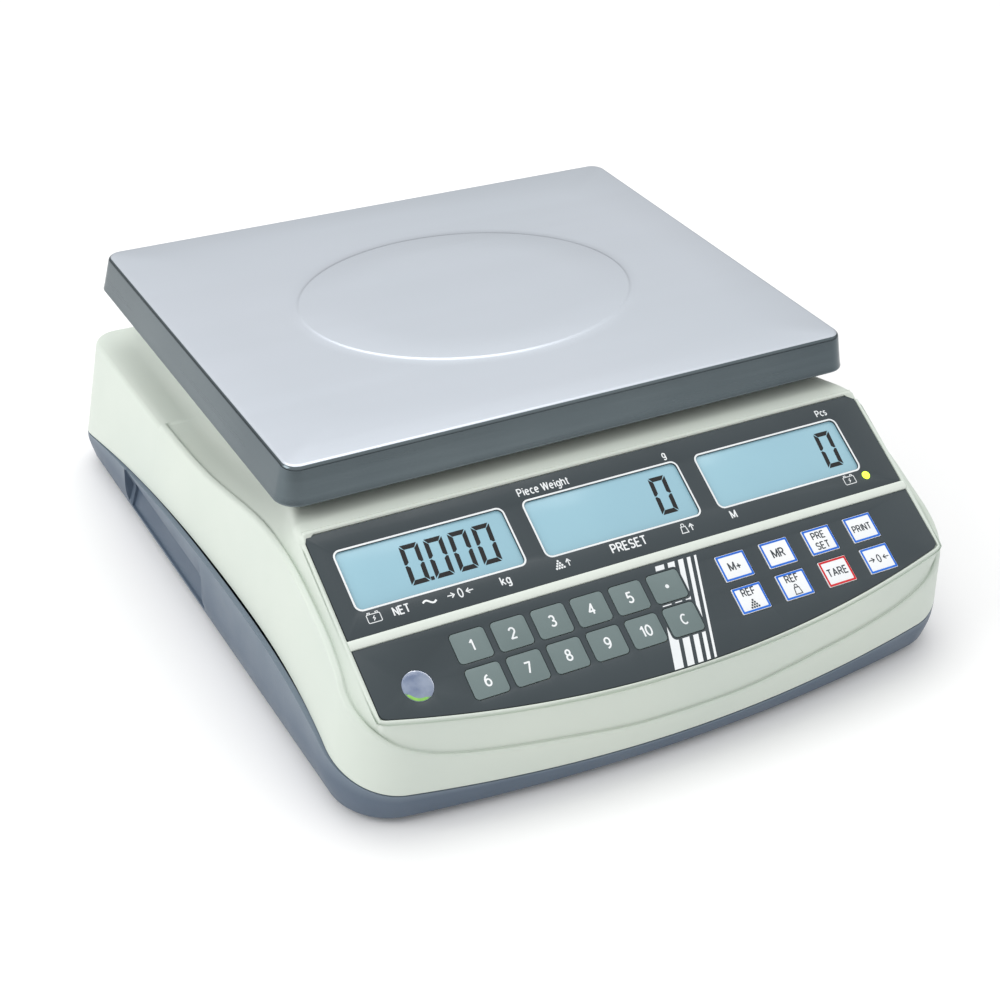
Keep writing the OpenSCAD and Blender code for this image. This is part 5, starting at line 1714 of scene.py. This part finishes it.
# piece, body, head height, shank radius and the head's seat below the top of each pair
boltLook = {"headR": 4.95, "halfGap": 9, "footGap": 0.05,
            "fixed_end_bolts": ("fixed_bolt_pair", "housing", 5.95, 2.7, 6),
            "platform_bolts": ("platform_bolt_pair", "platform", 3.45, 2.95, 3.5)}
low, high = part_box("fixed_end_bolts")
boltMid = (low.y + high.y) / 2 / mm
for node in ("fixed_end_bolts", "platform_bolts"):
    pieceName, body, headHigh, shankR, seat = boltLook[node]
    low, high = (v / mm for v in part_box(node))
    places = [((low.x + high.x) / 2, boltMid + side * boltLook["halfGap"]) for side in (-1, 1)]
    bm = bmesh.new()
    mergeFrom(bm, capBolts(places, boltLook["headR"], headHigh, shankR, high.z - seat,
                           low.z + boltLook["footGap"]))
    newPiece(pieceName, bm, body, (node,), [boltBlack], 30)
print("screws and bolts made")

# feet
footLook = {"padR": 9.6, "ribR": 10.0, "padHigh": 3.5, "ribs": 40, "flangeR": 8.1, "toothR": 8.5,
            "teeth": 30}


def block(w, d, z0, z1, edge=0.0, n=2):
    bm = bmesh.new()
    plateMesh(bm, scaled(roundedRect(w, d, min(w, d) * 0.3, n)), [], z1 * mm, z0 * mm, edge * mm)
    bmesh.ops.recalc_face_normals(bm, faces=bm.faces[:])
    return looseObject("block", bm)


for name in ("front_left", "front_right", "rear_left", "rear_right"):
    low, high = (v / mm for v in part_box("foot_pad_" + name))
    place = standing((low.x + high.x) / 2, (low.y + high.y) / 2)
    d = footLook
    r, h = d["padR"], d["padHigh"]
    profile = [(0, 0.35), (2.2, 0.35), (2.6, 0), (4.4, 0), (4.8, 0.35), (5.4, 0.35), (5.8, 0),
               (7.4, 0), (7.8, 0.35), (8.4, 0.35),
               (8.8, 0.02), (r - 0.3, 0.1), (r, 0.4), (r, h - 0.5), (r - 0.5, h), (3.1, h),
               (3.1, 1.25), (0, 1.25)]
    bm = bmesh.new()
    lathe(bm, [(a * mm, b * mm) for a, b in profile], place, 48)
    rib = block(0.9, 0.8, 0.5, h - 0.4, 0.15)
    rib.data.transform(Matrix.Translation(((d["ribR"] - 0.4 - (d["ribR"] - 0.45)) * mm, 0, 0)))
    mergeFrom(bm, detailMesh("Ring", rib, blackRubber, count=d["ribs"], reach=d["ribR"] - 0.47,
                             turn=2 * math.pi / d["ribs"], place=place))
    bmesh.ops.recalc_face_normals(bm, faces=bm.faces[:])
    newPiece("foot_rubber_" + name, bm, "foot_pad_" + name, ("foot_pad_" + name,),
             [blackRubber], 35)
    r = d["flangeR"]
    profile = [(0, 1.32), (2.6, 1.32), (2.95, 1.6), (2.95, 3.56), (r - 0.4, 3.56), (r, 3.9),
               (r, 5.8), (r - 0.4, 6.14), (3.9, 6.14)]
    z = 6.3
    while z < 20.0:
        profile += [(3.9, z), (3.45, z + 0.35), (3.9, z + 0.7)]
        z += 1.0
    profile += [(3.9, 20.4), (3.2, 21.1), (0, 21.1)]
    bm = bmesh.new()
    lathe(bm, [(a * mm, b * mm) for a, b in profile], place, 48)
    tooth = block(0.8, 0.9, 3.95, 5.75, 0.2)
    mergeFrom(bm, detailMesh("Ring", tooth, screwSteel, count=d["teeth"], reach=d["toothR"] - 0.42,
                             turn=2 * math.pi / d["teeth"], place=place))
    bmesh.ops.recalc_face_normals(bm, faces=bm.faces[:])
    newPiece("foot_stud_" + name, bm, "foot_screw_" + name, ("foot_screw_" + name,),
             [screwSteel], 30)
print("feet made")

# battery door and power switch, seen from below
below = Matrix.Rotation(math.pi, 4, "X")
doorLook = {"thick": 1.8, "ribs": 9, "ribGap": 2.6, "ribWide": 22}
bm = bmesh.new()
face = standing(doorMid[0], doorMid[1], 3.0)
plateMesh(bm, scaled(roundedRect(doorWide, doorLong, 3, 5)), [], -0.45 * mm,
          -doorLook["thick"] * mm, 0.5 * mm, face @ below)
plateMesh(bm, scaled(roundedRect(doorWide - 6.6, doorLong - 6.6, 2, 4)), [], 2.45 * mm, 1.7 * mm, 0, face)
frameOut, frameIn = roundedRect(doorWide - 1.4, doorLong - 1.4, 2.4, 5), roundedRect(doorWide - 8,
    doorLong - 8, 2, 5)
plateMesh(bm, scaled(frameOut), [scaled(frameIn)], -0.02 * mm, -0.6 * mm, 0.25 * mm, face @ below)
rib = block(doorLook["ribWide"], 1.3, 0, 0.55, 0.3, 3)
ribs = detailMesh("Line", rib, basePlastic, count=doorLook["ribs"], reach=doorLook["ribGap"])
ribs.data.transform(face @ standing(0, doorLong / 2 - 36, 0.55) @ below
                    @ standing(0, -(doorLook["ribs"] - 1) * doorLook["ribGap"] / 2))
mergeFrom(bm, ribs)
strokeMesh(bm, scaled([(-4, -3), (0, 3), (4, -3)]), 1.2 * mm,
           face @ standing(0, doorLong / 2 - 18, 0.5) @ below, 0.45 * mm)
newPiece("battery_hatch", bm, "housing", ("battery_door",), [basePlastic], 30)

bm = bmesh.new()
w, d = switchHigh.x - switchLow.x, switchHigh.y - switchLow.y
here = standing(switchMid[0], switchMid[1])
plateMesh(bm, scaled(roundedRect(w, d, 1.4, 4)), [scaled(roundedRect(18, 10.6, 0.7, 3))],
          -2.02 * mm, -3.0 * mm, 0.4 * mm, here @ below)
plateMesh(bm, scaled(roundedRect(w - 2.2, d - 2.2, 0.8, 3)),
          [scaled(roundedRect(18, 10.6, 0.7, 3))], 12.5 * mm, 2.9 * mm, 0, here)
plateMesh(bm, scaled(roundedRect(w - 2.2, d - 2.2, 0.8, 3)), [], 17.95 * mm, 12.45 * mm, 0.3 * mm, here)
newPiece("switch_frame", bm, "housing", ("power_switch_body",), [switchBlack], 30)

rockerTilt = math.radians(8)
rockPlace = standing(switchMid[0], switchMid[1], 9) @ Matrix.Rotation(-rockerTilt, 4, "Y")
outlineXZ = [(-7.95, -7.4)] + [(-7.8 + 15.6 * i / 12,
                                -7.4 + 1.25 * math.sin(math.pi * i / 12) ** 1.3) for i in range(13)]
outlineXZ += [(7.95, -7.4), (7.0, -2), (3, 2.15), (-3, 2.15), (-7.0, -2)]
bm = bmesh.new()
rings = [[bm.verts.new(rockPlace @ Vector((x * mm * k, y * mm, (z * kz) * mm))) for x, z in outlineXZ]
         for y, k, kz in ((-4.95, 0.96, 0.96), (-4.6, 1, 1), (4.6, 1, 1), (4.95, 0.96, 0.96))]
for a, b in zip(rings, rings[1:]):
    for i in range(len(a)):
        j = (i + 1) % len(a)
        bm.faces.new((a[i], a[j], b[j], b[i]))
bm.faces.new(rings[0][::-1])
bm.faces.new(rings[-1])
lathe(bm, [(0, -6.15 * mm), (1.45 * mm, -6.15 * mm), (1.45 * mm, 6.15 * mm), (0, 6.15 * mm)],
      rockPlace @ Matrix.Rotation(math.pi / 2, 4, "X"), 20)
bmesh.ops.recalc_face_normals(bm, faces=bm.faces[:])
markFace = rockPlace @ below
strokeMesh(bm, scaled(ringPoints(1.5, 20, (4.6, 0))), 0.45 * mm,
           markFace @ standing(0, 0, 6.38) @ Matrix.Rotation(math.radians(-8), 4, "Y")
           @ standing(0, 0, 0.0), 0.5 * mm, 1, True)
plateMesh(bm, scaled(roundedRect(0.55, 3.4, 0.2, 2, (-4.6, 0))), [], 6.9 * mm, 6.2 * mm, 0, markFace, 1)
newPiece("switch_rocker", bm, "power_rocker", ("power_rocker",),
         [switchBlack, printWhite], 30)

# rear sockets
wallY = serialHigh.y - 4.5
rearTurn = Matrix.Rotation(-math.pi / 2, 4, "X")
socketMid = ((serialLow.x + serialHigh.x) / 2, (serialLow.z + serialHigh.z) / 2)
behind = standing(socketMid[0], wallY, socketMid[1]) @ rearTurn


# the plug's keyed outline, wider above than below
def shellShape(grow):
    return insetLoop([(-8.9, -4.3), (-8.5, -4.9), (8.5, -4.9), (8.9, -4.3), (8.0, 4.3), (7.4, 4.9),
                      (-7.4, 4.9), (-8.0, 4.3)], -grow)


bm = bmesh.new()
flangeHoles = [ringPoints(1.5, 16, (sx * serialLook["screwGap"], 0)) for sx in (-1, 1)]
plateMesh(bm, scaled(roundedRect(*serialLook["flange"], serialLook["round"], 4)),
          [scaled(h) for h in flangeHoles] + [scaled(shellShape(-0.4))],
          -0.15 * mm, -1.65 * mm, 0.25 * mm, behind)
plateMesh(bm, scaled(shellShape(0)), [scaled(shellShape(-serialLook["wall"]))], serialLook["proud"] * mm,
          -1.6 * mm, 0.2 * mm, behind)
plateMesh(bm, scaled(shellShape(-0.52)), [], -3.0 * mm, -serialLook["deep"] * mm, 0, behind, 1)
pinBm = bmesh.new()
pinR = serialLook["pinR"] * mm
lathe(pinBm, [(0, -3.2 * mm), (pinR, -3.2 * mm), (pinR, 2.2 * mm), (0.4 * pinR, 2.7 * mm),
              (0, 2.7 * mm)], None, 12)
pinSeed = looseObject("pinSeed", pinBm)
pinGap, pinRow = serialLook["pinPitch"], serialLook["pinRow"]
pinPlaces = [(-5.5 + pinGap * i, -pinRow, 0) for i in range(5)]
pinPlaces += [(-4.1 + pinGap * i, pinRow, 0) for i in range(4)]
mergeFrom(bm, detailMesh("Points", pinSeed, screwSteel, pinPlaces, place=behind), 0)
for sx in (-1, 1):
    jack = [(1.45, -0.4), (2.3, -0.4), (2.3, 1.6), (1.9, 1.9), (1.45, 1.9), (1.45, -0.4)]
    lathe(bm, [(r * mm, z * mm) for r, z in jack], behind @ standing(sx * serialLook["screwGap"], 0), 6)
bmesh.ops.remove_doubles(bm, verts=bm.verts[:], dist=1e-6)
bmesh.ops.recalc_face_normals(bm, faces=bm.faces[:])
newPiece("serial_port", bm, "housing", ("serial_socket",), [screwSteel, switchBlack], 30)
bm = bmesh.new()
here = standing((powerLow.x + powerHigh.x) / 2, wallY, (powerLow.z + powerHigh.z) / 2) @ rearTurn
d = jackLook
jack = [(0, -d["deep"]), (d["sleeve"], -d["deep"]), (d["sleeve"], d["proud"] - 0.55),
        (d["sleeve"] - 0.5, d["proud"]), (d["bore"] + 0.4, d["proud"]), (d["bore"], d["proud"] - 0.45),
        (d["bore"], -6), (d["pin"], -6),
        (d["pin"], 1.8), (d["pin"] - 0.4, 2.2), (0, 2.2)]
lathe(bm, [(r * mm, z * mm) for r, z in jack], here, 36)
for f in bm.faces:
    c = here.inverted() @ f.calc_center_median()
    f.material_index = 1 if math.hypot(c.x, c.y) < 1.05 * mm and c.z > -6.2 * mm else 0
bmesh.ops.recalc_face_normals(bm, faces=bm.faces[:])
newPiece("power_jack", bm, "housing", ("dc_socket",), [switchBlack, screwSteel], 30)
print("sockets made")

# floor and light
stageLook = {"floor": paint(250, 250, 250), "horizon": 0.22, "dome": 0.98}
floorBm = bmesh.new()
bmesh.ops.create_grid(floorBm, x_segments=1, y_segments=1, size=6)
floor = looseObject("floor", floorBm)
floor.data.materials.append(finish("floorPaper", stageLook["floor"], paint(248, 248, 248),
                                   (0.55, 0.65), patch=2, grain=300, bump=0.01))
world = bpy.data.worlds.new("studio")
bpy.context.scene.world = world
world.use_nodes = True
skyNodes, skyLinks = world.node_tree.nodes, world.node_tree.links
skyPlace = skyNodes.new("ShaderNodeTexCoord")
skyParts = skyNodes.new("ShaderNodeSeparateXYZ")
skyRange = skyNodes.new("ShaderNodeMapRange")
skyRange.interpolation_type = "SMOOTHSTEP"
for key, value in (("From Min", 0.02), ("From Max", 0.5), ("To Min", stageLook["horizon"]),
                   ("To Max", stageLook["dome"])):
    skyRange.inputs[key].default_value = value
skyLinks.new(skyPlace.outputs["Generated"], skyParts.inputs[0])
skyLinks.new(skyParts.outputs["Z"], skyRange.inputs["Value"])
skyLinks.new(skyRange.outputs["Result"], skyNodes["Background"].inputs["Strength"])
skyNodes["Background"].inputs["Color"].default_value = (1, 1, 1, 1)
bpy.context.scene.view_settings.view_transform = "Standard"


def softLight(name, place, target, size, power, tint=(1, 1, 1)):
    data = bpy.data.lights.new(name, "AREA")
    data.shape = "RECTANGLE"
    data.size, data.size_y = size
    data.energy = power
    data.color = tint
    lamp = bpy.data.objects.new(name, data)
    way = (Vector(target) - Vector(place)).to_track_quat("-Z", "Y")
    lamp.matrix_world = Matrix.Translation(place) @ way.to_matrix().to_4x4()
    bpy.context.scene.collection.objects.link(lamp)


softLight("leftSoft", (-1.5, 0.1, 1.1), (0, 0, 0.05), (1.0, 0.9), 9)
softLight("topSoft", (0.1, 0.5, 1.6), (0, 0, 0.05), (1.4, 1.0), 7)
print("stage set")
